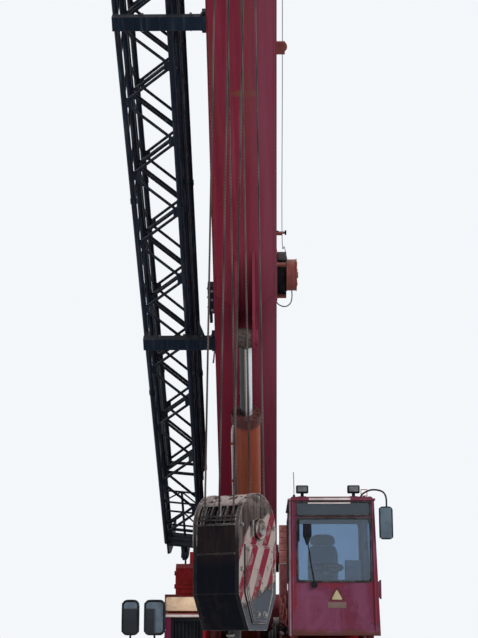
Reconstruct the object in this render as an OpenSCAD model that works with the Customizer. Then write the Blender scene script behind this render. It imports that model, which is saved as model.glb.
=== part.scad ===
// Crawler crane with a three-section telescopic boom, in millimetres.
// The boom points to -Y, the operator's cab is on +X, the ground is z = 0
// and the origin is on the slewing axis.

/* [Tracks] */
// Length of a track over its shoes
track_len = 5200; // [4800:50:5600]
// Height of a track over its grousers
track_h = 950; // [930:10:980]
// Distance between the two track centre lines
track_gauge = 2600; // [2500:50:2900]
// Width of the track shoes
shoe_w = 600; // [500:20:620]
// Number of shoes on one track
shoe_count = 60; // [50:1:66]
// Thickness of a shoe plate
shoe_t = 22; // [16:1:26]
// Height of a grouser bar above its shoe plate
grouser_h = 28; // [15:1:32]
// Number of bottom rollers on one side
roller_count = 9; // [6:1:10]
// Width of the space between the side plates of a track frame
frame_gap = 260; // [260:2:280]
// Thickness of the side plates of a track frame
frame_plate = 20; // [12:1:25]

/* [Car body] */
// Height of the car body's ring seat above the ground
seat_z = 1000; // [980:5:1020]
// Outer radius of the slewing ring
ring_r = 700; // [640:10:740]
// Height of the slewing ring
ring_h = 95; // [80:5:110]

/* [Turntable] */
// Width between the two boom cheeks
cheek_gap = 800; // [796:2:830]
// Thickness of a boom cheek
cheek_t = 40; // [25:1:45]
// Distance of the boom foot pin behind the slewing axis
foot_y = 1200; // [1150:10:1250]
// Height of the boom foot pin above the ground
foot_z = 2600; // [2580:10:2650]
// Radius of the boom foot pin
foot_pin_r = 80; // [60:1:90]
// Length of the turntable behind the slewing axis
tail_y = 2600; // [2550:10:2700]
// Length of the turntable ahead of the slewing axis
nose_y = 1500; // [1300:10:1600]
// Height of the deck surface above the ground
deck_z = 1300; // [1280:5:1330]
// Depth of the counterweight behind the turntable
weight_depth = 750; // [650:10:850]
// Height of the counterweight
weight_h = 1000; // [800:10:1100]

/* [Cab] */
// Width of the operator's cab
cab_w = 1000; // [950:10:1050]
// Length of the operator's cab
cab_len = 1650; // [1500:10:1750]
// Height of the operator's cab
cab_h = 1530; // [1480:10:1600]
// Distance of the cab's inner wall from the boom plane
cab_x = 490; // [480:5:520]
// Distance of the cab's front ahead of the slewing axis
cab_front = 2100; // [2000:10:2200]
// Height of the cab's floor edge above the ground
cab_z = 1580; // [1560:5:1620]
// Thickness of the cab's walls
cab_wall = 45; // [30:1:55]

/* [Boom] */
// Angle of the boom above the horizontal, as it stands
boom_angle = 45; // [45]
// Width over the flanges of the base section
base_w = 730; // [700:2:740]
// Height of the base section
base_h = 900; // [880:2:910]
// Length from the foot pin to the front of the base section
base_len = 10200; // [10000:10:10400]
// Thickness of the flange plates of the sections
flange_t = 16; // [10:1:20]
// Thickness of the web plates of the sections
web_t = 12; // [8:1:14]
// Clear step from one section's outside to the next one's inside
section_step = 44; // [40:1:48]
// Length of each inner section that shows when retracted
section_show = 300; // [260:5:340]
// Distance of the lower head pin beyond the tip of the inner section
head_reach = 350; // [330:5:380]
// Drop of the lower head pin below the boom's axis
head_drop = 620; // [600:5:660]

/* [Lift cylinder] */
// Radius of the barrel
barrel_r = 165; // [150:1:170]
// Radius of the chrome rod
rod_r = 75; // [65:1:80]
// Distance of the barrel's foot pin behind the slewing axis
lift_y = 750; // [740:5:760]
// Height of the barrel's foot pin above the ground
lift_z = 1650; // [1640:5:1660]
// Distance of the rod's pin from the boom foot, along the boom
lift_t = 4100; // [4050:10:4150]
// Distance of the rod's pin below the boom's axis
lift_drop = 850; // [840:5:860]

/* [Hoist] */
// Radius of a sheave at the bottom of its groove
sheave_r = 220; // [200:5:225]
// Distance between neighbouring sheaves
sheave_pitch = 125; // [110:1:130]
// Radius of the hoist rope
rope_r = 10; // [8:0.5:12]
// Height of the hook block's sheave axis above the ground
block_z = 2365; // [2200:5:2500]
// Angle by which the hook block has turned about the vertical
block_turn = 30; // [0:1:40]

/* [Jib] */
// Length of the stowed lattice jib
jib_len = 9200; // [8800:50:9400]
// Distance between the jib's chords at its tip end, both ways
jib_tip_w = 456; // [430:2:480]
// Distance between the jib's chords at its root end, both ways
jib_root_w = 604; // [560:2:610]
// Radius of a chord tube
chord_r = 32; // [28:1:34]
// Radius of a bracing tube
brace_r = 17; // [12:1:18]
// Number of bracing panels
jib_panels = 20; // [16:2:22]
// Distance of the jib's lower end from the boom plane
jib_x = 830; // [820:5:860]
// Angle by which the jib leans away from the boom
jib_lean = 1.2; // [1:0.1:1.6]
// Angle by which the jib is rolled about its own axis in its saddles
jib_roll = 10; // [8:1:10]

/* [Hidden] */
$fn = 48;

seat_gap = 0.3;
run_gap = 5;

// Track loop: radii are measured from the centre of an end wheel
wheel_z = track_h / 2;
wheel_y = (track_len - track_h) / 2;
pad_r = track_h / 2 - grouser_h - shoe_t;
belt_t = 20;
rail_depth = 105;
rail_in = 70;
rail_out = 115;
rail_r = pad_r - rail_depth;
loop_len = 4 * wheel_y + 2 * PI * pad_r;
shoe_pitch = loop_len / shoe_count;
shoe_slot = 10;
roller_r = 100;
top_roller_r = 62;
frame_w = frame_gap + 2 * frame_plate;
frame_bottom = 385;
frame_top = 640;

// Heights of the upper works
ring_z = seat_z + ring_h;
upper_z = ring_z + 5;
base_plate = 50;
deck_t = 50;
deck_right = 1150;
deck_left = cab_x + cab_w;
tail_r = tail_y + weight_depth;
tow_r = 32;
eye_r = 35;

// Boom sections: outer width over flanges, web width, height, rear end, front end
flange_lip = 20;
function step_w(i) = base_w - i * (2 * (flange_lip + web_t) + 56);
function step_h(i) = base_h - i * 2 * (flange_t + section_step);
section_rear = [0, 700, 1000];
function section_front(i) = base_len + i * section_show;
web_half = [for (i = [0:2]) step_w(i) / 2 - flange_lip];
tip_t = section_front(2);
head_t = tip_t + head_reach;
head_plate_in = 200;
head_plate_t = 30;
top_sheave_t = head_t + 100;
top_sheave_n = 430;
head_shaft = 44.7;
top_shaft = 39.7;

// Where the rod's pin and the head pin stand in the machine
function on_boom(t, n) = [
    foot_y - t * cos(boom_angle) + n * sin(boom_angle),
    foot_z + t * sin(boom_angle) + n * cos(boom_angle)
];
lift_pin = on_boom(lift_t, -lift_drop);
lift_len = norm([lift_pin[0] - lift_y, lift_pin[1] - lift_z]);
lift_angle = atan2(lift_pin[1] - lift_z, lift_y - lift_pin[0]);
gland_u = lift_len - 1030;
head_pin = on_boom(head_t, -head_drop);
fall_r = sheave_r + rope_r + 0.5;
block_half = 200;
block_plate = 35;

// Box between two corners given as [low, high] for each axis
module box(x, y, z) {
    translate([x[0], y[0], z[0]]) cube([x[1] - x[0], y[1] - y[0], z[1] - z[0]]);
}

// Round bar along X between x[0] and x[1]
module bar_x(r, x, y, z) {
    translate([x[0], y, z]) rotate([0, 90, 0]) cylinder(h = x[1] - x[0], r = r);
}

// Plate standing across X, drawn from its outline in Y and Z
module plate_x(x0, t) {
    translate([x0, 0, 0]) rotate([90, 0, 90]) linear_extrude(t) children();
}

// Round bar between two points, turned about its own axis by the last value
module bar(p, q, r, spin = 0) {
    v = q - p;
    translate(p) rotate([0, acos(v[2] / norm(v)), atan2(v[1], v[0])]) rotate([0, 0, spin])
        cylinder(h = norm(v), r = r);
}

// The same piece on both sides of the boom plane
module both_sides() {
    children();
    mirror([1, 0, 0]) children();
}

module at_boom() {
    translate([0, foot_y, foot_z]) rotate([-boom_angle, 0, 0]) children();
}

module at_lift() {
    translate([0, lift_y, lift_z]) rotate([-lift_angle, 0, 0]) children();
}

module at_block() {
    translate([0, head_pin[0], block_z]) rotate([0, 0, -block_turn]) children();
}

// Point on the track loop, s along it and out from the pads' inner faces
function loop_point(s, out) =
    let (run = 2 * wheel_y, arc = PI * pad_r, r = pad_r + out)
    s < run ? [s - wheel_y, wheel_z - r] :
    s < run + arc ?
        let (a = (s - run) / pad_r * 180 / PI) [wheel_y + r * sin(a), wheel_z - r * cos(a)] :
    s < 2 * run + arc ? [wheel_y - (s - run - arc), wheel_z + r] :
        let (a = (s - 2 * run - arc) / pad_r * 180 / PI)
        [-wheel_y - r * sin(a), wheel_z + r * cos(a)];

// One shoe's outline: plate with a grouser bar near its leading edge
function shoe(i) =
    let (s0 = i * shoe_pitch + shoe_slot / 2, s1 = (i + 1) * shoe_pitch - shoe_slot / 2,
         g0 = s0 + 22, g1 = g0 + 24)
    [loop_point(s0, 0), loop_point(s0, shoe_t), loop_point(g0, shoe_t),
     loop_point(g0, shoe_t + grouser_h), loop_point(g1, shoe_t + grouser_h),
     loop_point(g1, shoe_t), loop_point(s1, shoe_t), loop_point(s1, 0)];

module stadium(r) {
    translate([-wheel_y, wheel_z]) circle(r);
    translate([wheel_y, wheel_z]) circle(r);
    translate([-wheel_y, wheel_z - r]) square([2 * wheel_y, 2 * r]);
}

module at_track(side) {
    translate([side * track_gauge / 2, 0, 0]) mirror([side < 0 ? 1 : 0, 0, 0]) children();
}

// Fixed loop of shoes with its two chain rails inside
module track() {
    plate_x(-shoe_w / 2, shoe_w) difference() {
        polygon([for (i = [0:shoe_count - 1]) each shoe(i)]);
        stadium(pad_r - belt_t);
    }
    for (x = [-rail_out, rail_in])
        plate_x(x, rail_out - rail_in) difference() {
            stadium(pad_r - belt_t / 2);
            stadium(rail_r);
        }
}

module track_left() { color([0.25, 0.22, 0.20]) at_track(1) track(); }
module track_right() { color([0.25, 0.22, 0.20]) at_track(-1) track(); }

// Side frame: box beam, roller skirts, idler fork and drive fork
module track_frame() {
    difference() {
        union() {
            plate_x(-frame_w / 2, frame_w)
                polygon([[-wheel_y + 500, frame_bottom], [wheel_y - 520, frame_bottom],
                         [wheel_y - 440, frame_top - 90], [wheel_y - 520, frame_top],
                         [-wheel_y + 500, frame_top], [-wheel_y + 420, frame_top - 90]]);
            for (x = [-frame_w / 2, frame_gap / 2])
                plate_x(x, frame_plate) union() {
                    translate([-wheel_y + 520, 215]) square([2 * wheel_y - 1040, frame_bottom - 215]);
                    for (e = [-1, 1]) {
                        translate([e * wheel_y, wheel_z]) circle(95);
                        translate([e > 0 ? wheel_y - 500 : -wheel_y, wheel_z - 80]) square([500, 160]);
                    }
                    for (y = top_roller_y())
                        translate([y - 70, frame_top - 20]) square([140, 150]);
                }
        }
        for (e = [-1, 1]) bar_x(45, [-frame_w, frame_w], e * wheel_y, wheel_z);
    }
}

function top_roller_y() = [-wheel_y * 0.38, wheel_y * 0.34];
function roller_y(i) = -wheel_y + 620 + i * (2 * wheel_y - 1240) / (roller_count - 1);

module track_frame_left() { color([0.45, 0.10, 0.10]) at_track(1) track_frame(); }
module track_frame_right() { color([0.45, 0.10, 0.10]) at_track(-1) track_frame(); }

// Spool-shaped roller turned about X, with a raised middle that runs between the rails
module roller(r) {
    half = frame_gap / 2 - run_gap;
    rotate([0, 90, 0]) rotate_extrude()
        polygon([[0, -half - run_gap + seat_gap], [30, -half - run_gap + seat_gap], [30, -half], [r, -half],
                 [r, -rail_in + 12], [r + 20, -rail_in + 20], [r + 20, rail_in - 20],
                 [r, rail_in - 12], [r, half], [30, half], [30, half + run_gap - seat_gap],
                 [0, half + run_gap - seat_gap]]);
}

module track_rollers() {
    color([0.20, 0.18, 0.17]) for (side = [-1, 1]) at_track(side) {
        for (i = [0:roller_count - 1])
            translate([0, roller_y(i), wheel_z - rail_r + roller_r + seat_gap]) roller(roller_r);
        for (y = top_roller_y())
            translate([0, y, wheel_z + rail_r - top_roller_r - seat_gap]) roller(top_roller_r);
    }
}

// Idler wheel with two running rims, a dished web and a middle flange
module idlers() {
    rim = rail_r - seat_gap;
    color([0.22, 0.19, 0.18]) for (side = [-1, 1]) at_track(side)
        translate([0, -wheel_y, wheel_z]) rotate([0, 90, 0]) rotate_extrude($fn = 64)
            polygon([[0, -frame_w / 2 - 12], [44.7, -frame_w / 2 - 12], [44.7, -120], [110, -120],
                     [120, -40], [rim - 60, -35], [rim - 50, -110], [rim, -110], [rim, -58],
                     [rim + 60, -45], [rim + 60, 45], [rim, 58], [rim, 110], [rim - 50, 110],
                     [rim - 60, 35], [120, 40], [110, 120], [44.7, 120], [44.7, frame_w / 2 + 12],
                     [0, frame_w / 2 + 12]]);
}

// Drive sprocket whose teeth stand between the chain rails
module sprockets() {
    teeth = 13;
    tip = pad_r - belt_t - 12;
    root = tip - 75;
    color([0.22, 0.19, 0.18]) for (side = [-1, 1]) at_track(side)
        translate([0, wheel_y, wheel_z]) {
            difference() {
                plate_x(-45, 90) polygon([for (i = [0:teeth - 1]) each
                    [for (k = [[root, 0], [root, 0.30], [tip, 0.52], [tip, 0.78]])
                        k[0] * [cos((i + k[1]) * 360 / teeth), sin((i + k[1]) * 360 / teeth)]]]);
                for (a = [0:60:300])
                    rotate([a, 0, 0]) bar_x(38, [-60, 60], 210, 0);
            }
            bar_x(120, [-120, 120], 0, 0);
            bar_x(44.7, [-frame_w / 2 - 12, frame_w / 2 + 12], 0, 0);
        }
}

// Gear housing outside each sprocket and its motor on the inner side
module final_drives() {
    color([0.42, 0.10, 0.10]) for (side = [-1, 1]) at_track(side)
        translate([0, wheel_y, wheel_z]) {
            out = frame_w / 2 + 12 + seat_gap;
            bar_x(165, [out, out + 70], 0, 0);
            bar_x(120, [out + 70, out + 110], 0, 0);
            bar_x(170, [-out - 150, -out], 0, 0);
            bar_x(110, [-out - 330, -out - 150], 0, 0);
        }
}

// Car body: two box cross-beams, centre box and round ring seat
module car_body() {
    end_x = track_gauge / 2 - frame_w / 2;
    knee_x = track_gauge / 2 - shoe_w / 2 - 60;
    color([0.45, 0.10, 0.10]) difference() {
        union() {
            for (y = [-850, 450])
                translate([0, y + 400, 0]) rotate([90, 0, 0]) linear_extrude(400)
                    polygon([[-end_x, frame_bottom + 30], [-knee_x, frame_bottom + 20], [-700, 330],
                             [700, 330], [knee_x, frame_bottom + 20], [end_x, frame_bottom + 30],
                             [end_x, frame_top], [knee_x, frame_top], [640, seat_z - 100],
                             [-640, seat_z - 100], [-knee_x, frame_top], [-end_x, frame_top]]);
            box([-640, 640], [-900, 900], [360, seat_z - 100]);
            translate([0, 0, seat_z - 200]) cylinder(h = 200, r = ring_r - 10, $fn = 96);
            for (y = [-1010, 900])
                box([-80, 80], [y, y + 110], [535, 585]);
        }
        for (y = [-965, 965]) translate([0, y, 530]) cylinder(h = 60, r = tow_r);
    }
}

module slewing_ring() {
    color([0.30, 0.28, 0.26]) translate([0, 0, seat_z]) difference() {
        cylinder(h = ring_h, r = ring_r, $fn = 96);
        translate([0, 0, -1]) cylinder(h = ring_h + 2, r = ring_r - 190, $fn = 96);
    }
}

// Outline of a boom cheek in Y and Z, with the rounded ear of the foot pin
module cheek_outline() {
    translate([foot_y, foot_z]) circle(215);
    polygon([[-nose_y, upper_z], [-nose_y, deck_z + 110], [-nose_y + 250, deck_z + 170],
             [-250, deck_z + 250], [foot_y - 208, foot_z - 55], [foot_y, foot_z + 20],
             [foot_y + 205, foot_z - 65], [foot_y + 480, foot_z - 420], [tail_y, deck_z + 560],
             [tail_y, upper_z]]);
}

module turntable_frame() {
    half = cheek_gap / 2;
    color([0.55, 0.11, 0.11]) difference() {
        union() {
            translate([0, 0, ring_z + seat_gap]) cylinder(h = 30, r = ring_r - 80, $fn = 96);
            box([-half - cheek_t, half + cheek_t], [-nose_y, tail_y], [upper_z, upper_z + base_plate]);
            both_sides() {
                plate_x(half, cheek_t) cheek_outline();
                plate_x(half, cheek_t + 28) polygon([[-nose_y, deck_z + 90], [-nose_y, deck_z + 110],
                    [-nose_y + 250, deck_z + 170], [-250, deck_z + 250], [foot_y - 208, foot_z - 55],
                    [foot_y - 180, foot_z - 75], [-242, deck_z + 226], [-nose_y + 252, deck_z + 149]]);
                bar_x(170, [half + cheek_t, half + cheek_t + 35], foot_y, foot_z);
                plate_x(100, 40) union() {
                    translate([lift_y, lift_z]) circle(130);
                    polygon([[lift_y - 130, upper_z + base_plate], [lift_y - 130, lift_z],
                             [lift_y + 130, lift_z], [lift_y + 330, upper_z + base_plate]]);
                }
            }
            box([-half, half], [-nose_y, -nose_y + 60], [upper_z, deck_z + 60]);
            box([-half, half], [tail_y - 60, tail_y], [upper_z, deck_z + 300]);
        }
        bar_x(foot_pin_r, [-half - 100, half + 100], foot_y, foot_z);
        bar_x(60, [-half, half], lift_y, lift_z);
    }
}

module boom_pins() {
    reach = cheek_gap / 2 + cheek_t + 50;
    color([0.35, 0.33, 0.32]) {
        bar_x(foot_pin_r - seat_gap, [-reach, reach], foot_y, foot_z);
        both_sides() bar_x(130, [reach, reach + 15], foot_y, foot_z);
        bar_x(60 - seat_gap, [-165, 165], lift_y, lift_z);
    }
}

// Decks on both sides with their outrigger ribs, and the cab's platform
module deck() {
    inner = cheek_gap / 2 + cheek_t + seat_gap;
    color([0.50, 0.10, 0.10]) {
        box([inner, deck_left], [-cab_front + cab_len + 60, tail_y], [deck_z - deck_t, deck_z]);
        box([cab_x, deck_left - 60], [-cab_front + 30, -cab_front + cab_len + 60],
            [cab_z - 120, cab_z - 40]);
        for (x = [cab_x, deck_left - 160])
            box([x, x + 100], [-cab_front + 60, -cab_front + cab_len + 59], [deck_z - 50, cab_z - 120]);
        box([inner, cab_x + 100], [-nose_y + 100, -cab_front + cab_len + 60],
            [deck_z - 50, deck_z + 50]);
        for (x = [cab_x + 50, deck_left - 110], y = [-cab_front + 150, -cab_front + cab_len - 150])
            translate([x, y, cab_z - 40]) cylinder(h = 40 - seat_gap, r = 45);
        box([-deck_right, -inner], [-cab_front + 120, tail_y], [deck_z - deck_t, deck_z]);
        for (y = [-1300, -100, 1100, 2300]) {
            translate([0, y + 20, 0]) rotate([90, 0, 0]) linear_extrude(20)
                polygon([[-inner, upper_z + 40], [-inner, deck_z - deck_t],
                         [-deck_right + 40, deck_z - deck_t], [-deck_right + 40, deck_z - deck_t - 50]]);
            if (y > -cab_front + cab_len)
                translate([0, y + 20, 0]) rotate([90, 0, 0]) linear_extrude(20)
                    polygon([[inner, upper_z + 40], [inner, deck_z - deck_t],
                             [deck_left - 40, deck_z - deck_t], [deck_left - 40, deck_z - deck_t - 50]]);
        }
    }
}

// Counterweight with a rear face that follows the tail circle, in two cast slabs
module counterweight() {
    half = 1250;
    color([0.48, 0.10, 0.10]) difference() {
        union() {
            for (k = [0, 1])
                intersection() {
                    box([-half, half], [tail_y + seat_gap, tail_r], [upper_z + 60 + k * weight_h / 2,
                        upper_z + 60 + (k + 1) * weight_h / 2 - (k == 0 ? 14 : 0)]);
                    cylinder(h = upper_z + 2 * weight_h, r = tail_r, $fn = 128);
                }
            box([-half + 80, half - 80], [tail_y + seat_gap, tail_y + 500],
                [upper_z + 46 + weight_h / 2, upper_z + 60 + weight_h / 2]);
            for (x = [-900, 860])
                box([x, x + 40], [tail_y + 180, tail_y + 380],
                    [upper_z + 59 + weight_h, upper_z + 200 + weight_h]);
        }
        for (x = [-900, 860])
            bar_x(eye_r, [x - 10, x + 50], tail_y + 280, upper_z + 130 + weight_h);
    }
}

// Engine hood on the right rear deck: thin shell with side louvres
hood_x = [-1000, -cheek_gap / 2 - cheek_t - 80];
hood_y = [1180, 2560];
hood_top = 2530;
module engine_hood() {
    wall = 25;
    color([0.62, 0.12, 0.12]) difference() {
        union() {
            plate_x(hood_x[0], hood_x[1] - hood_x[0])
                polygon([[hood_y[0], deck_z], [hood_y[1], deck_z], [hood_y[1], hood_top - 60],
                         [hood_y[1] - 60, hood_top], [hood_y[0] + 60, hood_top],
                         [hood_y[0], hood_top - 60]]);
            for (i = [0:3])
                box([hood_x[0] + 30, hood_x[1] - 30], [hood_y[0] - 18, hood_y[0]],
                    [2080 + i * 60, 2110 + i * 60]);
            translate([hood_x[0] + 180, hood_y[1] - 260, hood_top - 1]) cylinder(h = 220, r = 55);
        }
        box([hood_x[0] + wall, hood_x[1] - wall], [hood_y[0] + wall, hood_y[1] - wall],
            [deck_z - 1, hood_top - 60 - wall]);
        for (i = [0:8])
            box([hood_x[0] - 5, hood_x[0] + wall + 5],
                [hood_y[0] + 140 + i * 75, hood_y[0] + 180 + i * 75], [1700, 2150]);
    }
}

module engine() {
    color([0.30, 0.30, 0.31])
        box([hood_x[0] + 60, hood_x[1] - 60], [hood_y[0] + 200, hood_y[1] - 260],
            [deck_z + seat_gap, deck_z + 850]);
}

// Two sheet-metal housings over the tanks behind the cab, joined by a duct, with filler necks
module side_tank() {
    x = [cheek_gap / 2 + cheek_t + 60, deck_left - 40];
    y = [-cab_front + cab_len + 150, tail_y - 100];
    split = [y[0] + 1450, y[0] + 1490];
    wall = 12;
    top = 2150;
    color([0.58, 0.12, 0.12]) difference() {
        union() {
            for (part = [[y[0], split[0]], [split[1], y[1]]])
                plate_x(x[0], x[1] - x[0])
                    polygon([[part[0], deck_z], [part[1], deck_z], [part[1], top - 50],
                             [part[1] - 50, top], [part[0] + 50, top], [part[0], top - 50]]);
            for (neck = [y[0] + 500, y[1] - 800]) translate([x[1] - 200, neck, top - 1]) cylinder(h = 60, r = 70);
            box([x[0] + 80, x[1] - 80], [split[0] - 1, split[1] + 1], [deck_z + 200, top - 200]);
        }
        for (part = [[y[0], split[0]], [split[1], y[1]]])
            box([x[0] + wall, x[1] - wall], [part[0] + wall, part[1] - wall], [deck_z - 1, top - 50 - wall]);
    }
}

// Housing ahead of the right deck: body, upper rail and its pale-edged frame
house_x = [-900, -cheek_gap / 2 - cheek_t - 35];
house_y = [-1950, 850];
house_top = 2000;
recess = [deck_z + 60, deck_z + 480];
module front_housing() {
    color([0.52, 0.11, 0.11]) difference() {
        plate_x(house_x[0], house_x[1] - house_x[0])
            polygon([[house_y[0], deck_z], [house_y[1], deck_z], [house_y[1], house_top - 40],
                     [house_y[1] - 40, house_top], [house_y[0] + 160, house_top],
                     [house_y[0] + 160, 1850], [house_y[0], 1800]]);
        box([house_x[0] + 60, house_x[1] - 10], [house_y[0] - 10, house_y[0] + 90], recess);
        box([house_x[0] + 12, house_x[1] - 12], [house_y[0] + 172, house_y[1] - 12], [deck_z - 1, house_top - 52]);
    }
    color([0.85, 0.68, 0.48])
        box([house_x[0], house_x[1]], [house_y[0] + 60, house_y[0] + 160 - seat_gap],
            [1852, house_top]);
}

// Dark grille panel with upright slats set in the housing's recess
module front_grille() {
    x = [house_x[0] + 60 + seat_gap, house_x[1] - 10 - seat_gap];
    y = [house_y[0] + 30, house_y[0] + 90 - seat_gap];
    color([0.08, 0.09, 0.11]) {
        difference() {
            box(x, y, [recess[0] + seat_gap, recess[1] - seat_gap]);
            box([x[0] + 30, x[1] - 30], [y[0] - 1, y[0] + 40], [recess[0] + 40, recess[1] - 40]);
        }
        for (i = [0:7])
            box([x[0] + 48 + i * 41, x[0] + 58 + i * 41], [y[0] + 10, y[0] + 41], [recess[0] + 39, recess[1] - 39]);
    }
}

// Pair of tube-framed mirrors on an arm at the front right corner
module side_mirrors() {
    y = -cab_front + 180;
    color([0.08, 0.08, 0.09]) {
        box([house_x[0] - 14, house_x[0] - seat_gap], [y - 40, y + 40], [1350, 1450]);
        bar([house_x[0] - 12, y, 1400], [-1060, y - 60, 1500], 14, $fn = 16);
        for (m = [[-1020, 130], [-1290, 110]]) {
            translate([m[0], y - 60, 0]) {
                box([-m[1] / 2 - 14, m[1] / 2 + 14], [-12, 16], [1600, 1960]);
                bar([0, 0, 1480], [0, 0, 1601], 12, $fn = 16);
            }
        }
        bar([-1300, y - 60, 1490], [-1000, y - 60, 1490], 14, $fn = 16);
    }
}

winch_y = 2050;
winch_z = 1680;
winch_stub = 60;
module winch_mounts() {
    color([0.30, 0.27, 0.26]) both_sides() {
        bar_x(150, [322, cheek_gap / 2 - seat_gap], winch_y, winch_z);
        bar_x(winch_stub, [280, 323], winch_y, winch_z);
        bar_x(50, [cheek_gap / 2 + cheek_t, cheek_gap / 2 + cheek_t + 40], winch_y, winch_z);
    }
}

// Winch drum with its flanges and the rope's layers
module winch_drum() {
    color([0.33, 0.30, 0.28]) translate([0, winch_y, winch_z]) rotate([0, 90, 0]) rotate_extrude()
        polygon([[0, -276], [winch_stub + seat_gap, -276], [winch_stub + seat_gap, -316], [90, -316],
                 [90, -300], [300, -300], [300, -270], [235, -270], [235, 270], [300, 270], [300, 300],
                 [90, 300], [90, 316], [winch_stub + seat_gap, 316], [winch_stub + seat_gap, 276],
                 [0, 276]]);
}

// Cab outline across X, with the outer wall leaning in towards the roof
cab_lean = 45;
function cab_section(wall) = [
    [cab_x + wall, cab_z + wall], [cab_x + cab_w - wall, cab_z + wall],
    [cab_x + cab_w - cab_lean - wall, cab_z + cab_h - wall - 30],
    [cab_x + cab_w - cab_lean - 30 - wall, cab_z + cab_h - wall],
    [cab_x + 30 + wall, cab_z + cab_h - wall], [cab_x + wall, cab_z + cab_h - wall - 30]
];
module cab_solid(wall) {
    translate([0, -cab_front + cab_len - wall, 0]) rotate([90, 0, 0])
        linear_extrude(cab_len - 2 * wall) polygon(cab_section(wall));
}

module rounded(w, h, r) {
    translate([r, 0]) square([w - 2 * r, h]);
    translate([0, r]) square([w, h - 2 * r]);
    for (x = [r, w - r], y = [r, h - r]) translate([x, y]) circle(r, $fn = 24);
}

// Window openings: left edge, bottom, width, height, all from the cab's corner
screens = [[90, 590, 820, 698], [90, 1318, 820, 152]];
rear_pane = [110, 660, 780, 700];
side_pane = [250, 620, 1100, 740];
door_hole = [200, 60, 1000, 1400];
door_pane = [90, 560, 820, 740];

module across_y(y0, t) {
    translate([0, y0 + t, 0]) rotate([90, 0, 0]) linear_extrude(t) children();
}

module cab_shell() {
    color([0.60, 0.16, 0.24]) {
        difference() {
            cab_solid(0);
            cab_solid(cab_wall);
            for (pane = screens)
                across_y(-cab_front - 5, cab_wall + 10) translate([cab_x + pane[0], cab_z + pane[1]])
                    rounded(pane[2], pane[3], 50);
            across_y(-cab_front + cab_len - cab_wall - 5, cab_wall + 10)
                translate([cab_x + rear_pane[0], cab_z + rear_pane[1]])
                rounded(rear_pane[2], rear_pane[3], 60);
            plate_x(cab_x - 5, cab_wall + 10) translate([-cab_front + side_pane[0], cab_z + side_pane[1]])
                rounded(side_pane[2], side_pane[3], 60);
            plate_x(cab_x + cab_w - cab_lean - cab_wall - 10, cab_lean + cab_wall + 20)
                translate([-cab_front + door_hole[0], cab_z + door_hole[1]])
                rounded(door_hole[2], door_hole[3], 60);
        }
        hinge_pins();
    }
}

module cab_glass() {
    inset = 15;
    color([0.60, 0.70, 0.75, 0.5]) {
        for (pane = screens)
            across_y(-cab_front + inset, 12)
                translate([cab_x + pane[0] + seat_gap, cab_z + pane[1] + seat_gap])
                rounded(pane[2] - 2 * seat_gap, pane[3] - 2 * seat_gap, 50);
        across_y(-cab_front + cab_len - inset - 12, 12)
            translate([cab_x + rear_pane[0] + seat_gap, cab_z + rear_pane[1] + seat_gap])
            rounded(rear_pane[2] - 2 * seat_gap, rear_pane[3] - 2 * seat_gap, 60);
        plate_x(cab_x + inset, 12)
            translate([-cab_front + side_pane[0] + seat_gap, cab_z + side_pane[1] + seat_gap])
            rounded(side_pane[2] - 2 * seat_gap, side_pane[3] - 2 * seat_gap, 60);
    }
}

// Hinge line of the door, just outside the wall, and the heights of its two hinges
hinge_x = cab_x + cab_w + 20;
hinge_y = -cab_front + door_hole[0] + door_hole[2] - 6;
hinge_pin = 9;
hinge_z = [cab_z + 250, cab_z + 1150];
module hinge_knuckle() {
    for (z = hinge_z) difference() {
        union() {
            translate([hinge_x, hinge_y, z - 30]) cylinder(h = 60, r = 20, $fn = 24);
            box([cab_x + cab_w - 80, hinge_x - 4], [hinge_y - 60, hinge_y - 8], [z - 30, z + 30]);
        }
        translate([hinge_x, hinge_y, z - 31]) cylinder(h = 62, r = hinge_pin + seat_gap, $fn = 24);
        cab_solid(cab_wall - 5);
    }
}
module hinge_pins() {
    for (z = hinge_z) difference() {
        union() {
            translate([hinge_x, hinge_y, z - 45]) cylinder(h = 90, r = hinge_pin, $fn = 24);
            for (k = [-1, 1]) {
                translate([hinge_x, hinge_y, z + k * 38 - 7]) cylinder(h = 14, r = 20, $fn = 24);
                box([cab_x + cab_w - 80, hinge_x - 4], [hinge_y + 8, hinge_y + 40],
                    [z + k * 38 - 7, z + k * 38 + 7]);
            }
        }
        cab_solid(cab_wall - 5);
    }
}

// The door lies in the leaning wall, so its frame is cut from the cab's own section
module door_slab(grow, wall_in, wall_out) {
    intersection() {
        plate_x(cab_x + cab_w / 2, cab_w)
            translate([-cab_front + door_hole[0] + grow, cab_z + door_hole[1] + grow])
            rounded(door_hole[2] - 2 * grow, door_hole[3] - 2 * grow, 60 - grow);
        difference() {
            cab_solid(wall_out);
            cab_solid(wall_in);
        }
    }
}

module cab_door() {
    color([0.60, 0.16, 0.24]) {
        difference() {
            door_slab(6, cab_wall, 0);
            plate_x(cab_x + cab_w / 2, cab_w)
                translate([-cab_front + door_hole[0] + door_pane[0], cab_z + door_hole[1] + door_pane[1]])
                rounded(door_pane[2], door_pane[3], 60);
        }
        hinge_knuckle();
    }
    color([0.07, 0.07, 0.08]) box([cab_x + cab_w - 20, cab_x + cab_w + 30],
        [-cab_front + door_hole[0] + 60, -cab_front + door_hole[0] + 90], [cab_z + 420, cab_z + 600]);
}

module cab_door_glass() {
    color([0.60, 0.70, 0.75, 0.5]) intersection() {
        difference() {
            cab_solid(15);
            cab_solid(27);
        }
        plate_x(cab_x + cab_w / 2, cab_w)
            translate([-cab_front + door_hole[0] + door_pane[0] + seat_gap,
                       cab_z + door_hole[1] + door_pane[1] + seat_gap])
            rounded(door_pane[2] - 2 * seat_gap, door_pane[3] - 2 * seat_gap, 60);
    }
}

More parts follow.
